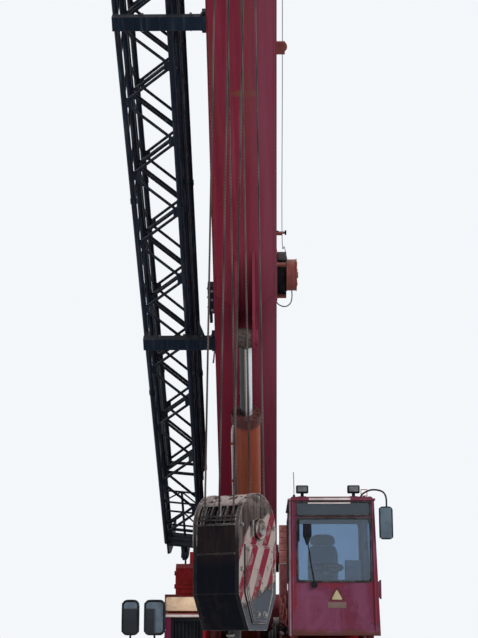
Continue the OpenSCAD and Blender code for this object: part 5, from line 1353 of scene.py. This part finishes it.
bent_pipe(head_rope, points, rope_r, 10, 3, boom)
made("rope_at_head", head_rope, fall_wire, "inner_section")

for guide_name, body, t, low, n in (("rope_guide_middle", "middle_section", middle_t, 0.388, middle_n),
                                    ("rope_guide_inner", "inner_section", inner_t, 0.328, inner_n)):
    guides = bmesh.new()
    for x in (-0.05, 0.05):
        plate(guides, about(x, 0.006), about(-t, 0.04), (low, n + 0.03), boom, 0.003)
    rod(guides, (-0.058, -t, n - 0.03), (0.058, -t, n - 0.03), 0.018, 14, place=boom)
    made(guide_name, guides, boom_paint, body)
pins = bmesh.new()
for side in (-1, 1):
    for t, n in ((11.15, -0.62), (11.25, 0.43)):
        rod(pins, (side * 0.229, -t, n), (side * 0.25, -t, n), 0.055, 24, 0.048, boom)
        plate(pins, (side * 0.229, side * 0.24), about(-t, 0.02), (n + 0.05, n + 0.13), boom, 0.002)
        bolt_row(pins, [(side * 0.24, -t, n + 0.11)], (side, 0, 0), 0.01, 0.009, boom)
made("head_pin_ends", pins, bare_steel, "inner_section")


# Hook block
# Thick cheek plates around three sheaves with covers front and back, worn to bare grey steel low down; each
# side carries white and dark red slanting stripes. The covers' near-black is painted shade. Bolted together
# through the sides.
block_middle = (0.0, head_y, block_z)
block_place = Matrix.Translation(block_middle) @ Matrix.Rotation(swing, 4, "Z")
block_paint, tree = new_finish("block_paint")
own_place = placed(tree, (0, 0, swing), shift=block_middle)
own = parts(tree, own_place)
rough = speckle(tree, own_place, 9.0, 8.0, 0.72)
rain = speckle(tree, placed(tree, (0, 0, swing), (14, 14, 1.4)), 1.0, 6.0, 0.7)
# The near-black base on the covers front and back is painted shade; rain streaks run down it.
colour = tinted(tree, cut(tree, rain, 0.5, 0.7, 0.0, 0.8), (0.005, 0.006, 0.01), (0.02, 0.014, 0.014))
brown_half = times(tree, cut(tree, own[2], -0.3, -0.16), cut(tree, rain, 0.36, 0.62, 0.15))
colour = tinted(tree, brown_half, colour, (0.03, 0.018, 0.016))
flaking = speckle(tree, placed(tree, (0, 0, swing), (13, 13, 26)), 1.0, 6.0, 0.72)
rim = times(tree, cut(tree, own[2], 0.12, 0.2), cut(tree, flaking, 0.46, 0.51))
colour = tinted(tree, rim, colour, (0.42, 0.33, 0.305))
normal = parts(tree, step(tree, "Mapping", {"Vector": step(tree, "TexCoord").outputs["Normal"],
                                            "Rotation": (0, 0, -swing)}).outputs[0])
sideways = cut(tree, maths(tree, "ABSOLUTE", normal[0]), 0.7, 0.9)
streaky = tinted(tree, cut(tree, rain, 0.42, 0.62), (0.022, 0.018, 0.018), (0.115, 0.088, 0.078))
colour = tinted(tree, times(tree, sideways, 0.85), colour, streaky)
stripe_slope, stripe_shift, stripe_pitch = 1.95, 4.9538, 0.175
slant = maths(tree, "ADD", own[1], times(tree, own[2], -1.0 / stripe_slope))
slant = maths(tree, "DIVIDE", maths(tree, "ADD", slant, stripe_shift), stripe_pitch)
slant = maths(tree, "FRACT", slant)
stripe = band(tree, slant, 0.02, 0.5, 0.02)
stripe_colour = tinted(tree, stripe, (0.285, 0.235, 0.215), (0.15, 0.016, 0.028))
stripe_colour = tinted(tree, cut(tree, rough, 0.5, 0.62, 0.0, 0.8), stripe_colour, (0.24, 0.2, 0.19))
edge_wave = maths(tree, "ADD", own[2], times(tree, rough, 0.3))
slope_edge = maths(tree, "ADD", edge_wave, times(tree, own[1], -0.35))
painted = times(tree, band(tree, slope_edge, -0.31, 0.205, 0.012), sideways)
front_edge = maths(tree, "ADD", own[1], times(tree, own[2], -0.71))
front_edge = maths(tree, "ADD", front_edge, times(tree, rough, 0.1))
painted = times(tree, painted, cut(tree, front_edge, -0.1, -0.085))
painted = times(tree, painted, cut(tree, rough, 0.66, 0.58))
colour = tinted(tree, painted, colour, stripe_colour)
bare_low = times(tree, cut(tree, slope_edge, -0.31, -0.35), sideways)
colour = tinted(tree, times(tree, bare_low, 0.9), colour, (0.06, 0.068, 0.082))
endways = cut(tree, maths(tree, "ABSOLUTE", normal[1]), 0.7, 0.9)
off_middle = maths(tree, "ABSOLUTE", own[0])
sheets = maths(tree, "FRACT", times(tree, off_middle, 110.0))
sheets = times(tree, band(tree, sheets, 0.3, 0.62, 0.08), cut(tree, off_middle, 0.164, 0.167))
sheets = times(tree, times(tree, sheets, endways), cut(tree, rough, 0.36, 0.54, 0.15, 0.9))
sheets = times(tree, sheets, cut(tree, own[2], -0.1, 0.02, 0.15))
colour = tinted(tree, sheets, colour, (0.3, 0.245, 0.235))
rubbed = times(tree, worn_edges(tree, 0.01), cut(tree, rough, 0.34, 0.56))
less_rubbed = times(tree, times(tree, endways, cut(tree, own[2], 0.02, -0.06)), -0.75)
rubbed = times(tree, rubbed, maths(tree, "ADD", less_rubbed, 1.0))
colour = tinted(tree, rubbed, colour, (0.34, 0.3, 0.285))
flake = times(tree, spots(tree, own_place, (4.0, 8.0, 0.75), 0.58, 0.66), 0.75)
colour = tinted(tree, flake, colour, rust_dark)
look(tree, colour, cut(tree, rain, 0.3, 0.7, 0.45, 0.75), shine=0.03, relief=(rough, 0.45, 0.006))
coat(block_paint, "block_cheeks")

layers = bmesh.new()
cheek_face = 0.2155
for side in (-1, 1):
    for x0, x1, grow in ((cheek_face, 0.2215, -0.014), (0.222, 0.227, -0.03)):
        outline = [(-0.2 - grow, -0.135), (-0.2 - grow, -0.465), (-0.095 - grow * 0.5, -0.675),
                   (0.095 + grow * 0.5, -0.675), (0.2 + grow, -0.465), (0.2 + grow, -0.135)]
        loft(layers, [[(side * x, y, z) for y, z in outline] for x in (x0, x1)], block_place)
for e in (-1, 1):
    plate(layers, (-0.166, 0.166), (e * 0.2695, e * 0.2745), (-0.197, -0.184), block_place, 0.002)
    plate(layers, (-0.166, 0.166), (e * 0.2695, e * 0.276), (0.016, 0.03), block_place, 0.002)
made("block_layers", layers, block_paint, "block")
rims = bmesh.new()
for x, r in ((-0.1975, 0.2755), (-0.168, 0.269), (-0.14, 0.266), (-0.112, 0.266)):
    arc = [(x, -r * math.sin(math.radians(a)), r * math.cos(math.radians(a))) for a in range(26, 101, 6)]
    arc += [(x, -r, -0.06), (x, -r, -0.13)]
    bent_pipe(rims, arc, 0.0035, 6, 2, block_place)
made("block_rims", rims, bare_steel, "block")

strap = bmesh.new()
strap_section = ((-0.165, 0.256), (-0.165, 0.264), (0.165, 0.264), (0.165, 0.256))
strap_turns = [math.radians(-50 + 100 * k / 24) for k in range(25)]
loft(strap, [[(x, r * math.sin(a), r * math.cos(a)) for x, r in strap_section] for a in strap_turns],
     block_place)
for side in (-1, 1):
    rod(strap, (-0.1655, side * 0.253, 0.086), (0.1655, side * 0.253, 0.086), 0.008, place=block_place)
    rod(strap, (0.03, side * 0.256, 0.086), (0.03, side * 0.25, 0.165), 0.005, 8, place=block_place)
made("block_strap", strap, block_paint, "block")

bolts = bmesh.new()
cover_spots = ((-0.17, -0.16), (0.17, -0.16), (-0.17, -0.44), (0.17, -0.44))
cheek_spots = ((-0.235, 0.02), (0.235, 0.02), (-0.235, -0.3), (0.235, -0.3), (0.0, 0.235))
for side in (-1, 1):
    out = (side, 0, 0)
    bolt_row(bolts, [(side * cheek_face, y, z) for y, z in cover_spots], out, 0.013, 0.014, block_place)
    bolt_row(bolts, [(side * 0.2, y, z) for y, z in cheek_spots], out, 0.014, 0.014, block_place)
    bolt_row(bolts, [(side * 0.227, y, -0.625) for y in (-0.05, 0.05)], out, 0.018, 0.016, block_place)
    rod(bolts, (side * 0.229, 0, 0), (side * 0.246, 0, 0), 0.052, 6, place=block_place)
    rod(bolts, (side * 0.246, 0, 0), (side * 0.254, 0, 0), 0.008, 8, place=block_place)
    plate(bolts, (side * 0.215, side * 0.223), (-0.11, -0.09), (-0.06, 0.06), block_place, 0.002)
made("block_bolts", bolts, bare_steel, "block")

forged = paint("forged_steel", (0.045, 0.043, 0.045), (0.095, 0.088, 0.082), rust=1.0, dust=0.4, gloss=0.45,
               edge=0.9)
coat(forged, "crane_hook")
latch = bmesh.new()
latch_z = -0.775
rod(latch, (-0.03, -0.062, latch_z), (0.03, -0.062, latch_z), 0.012, place=block_place)
made("hook_latch_pin", latch, bare_steel, "hook")
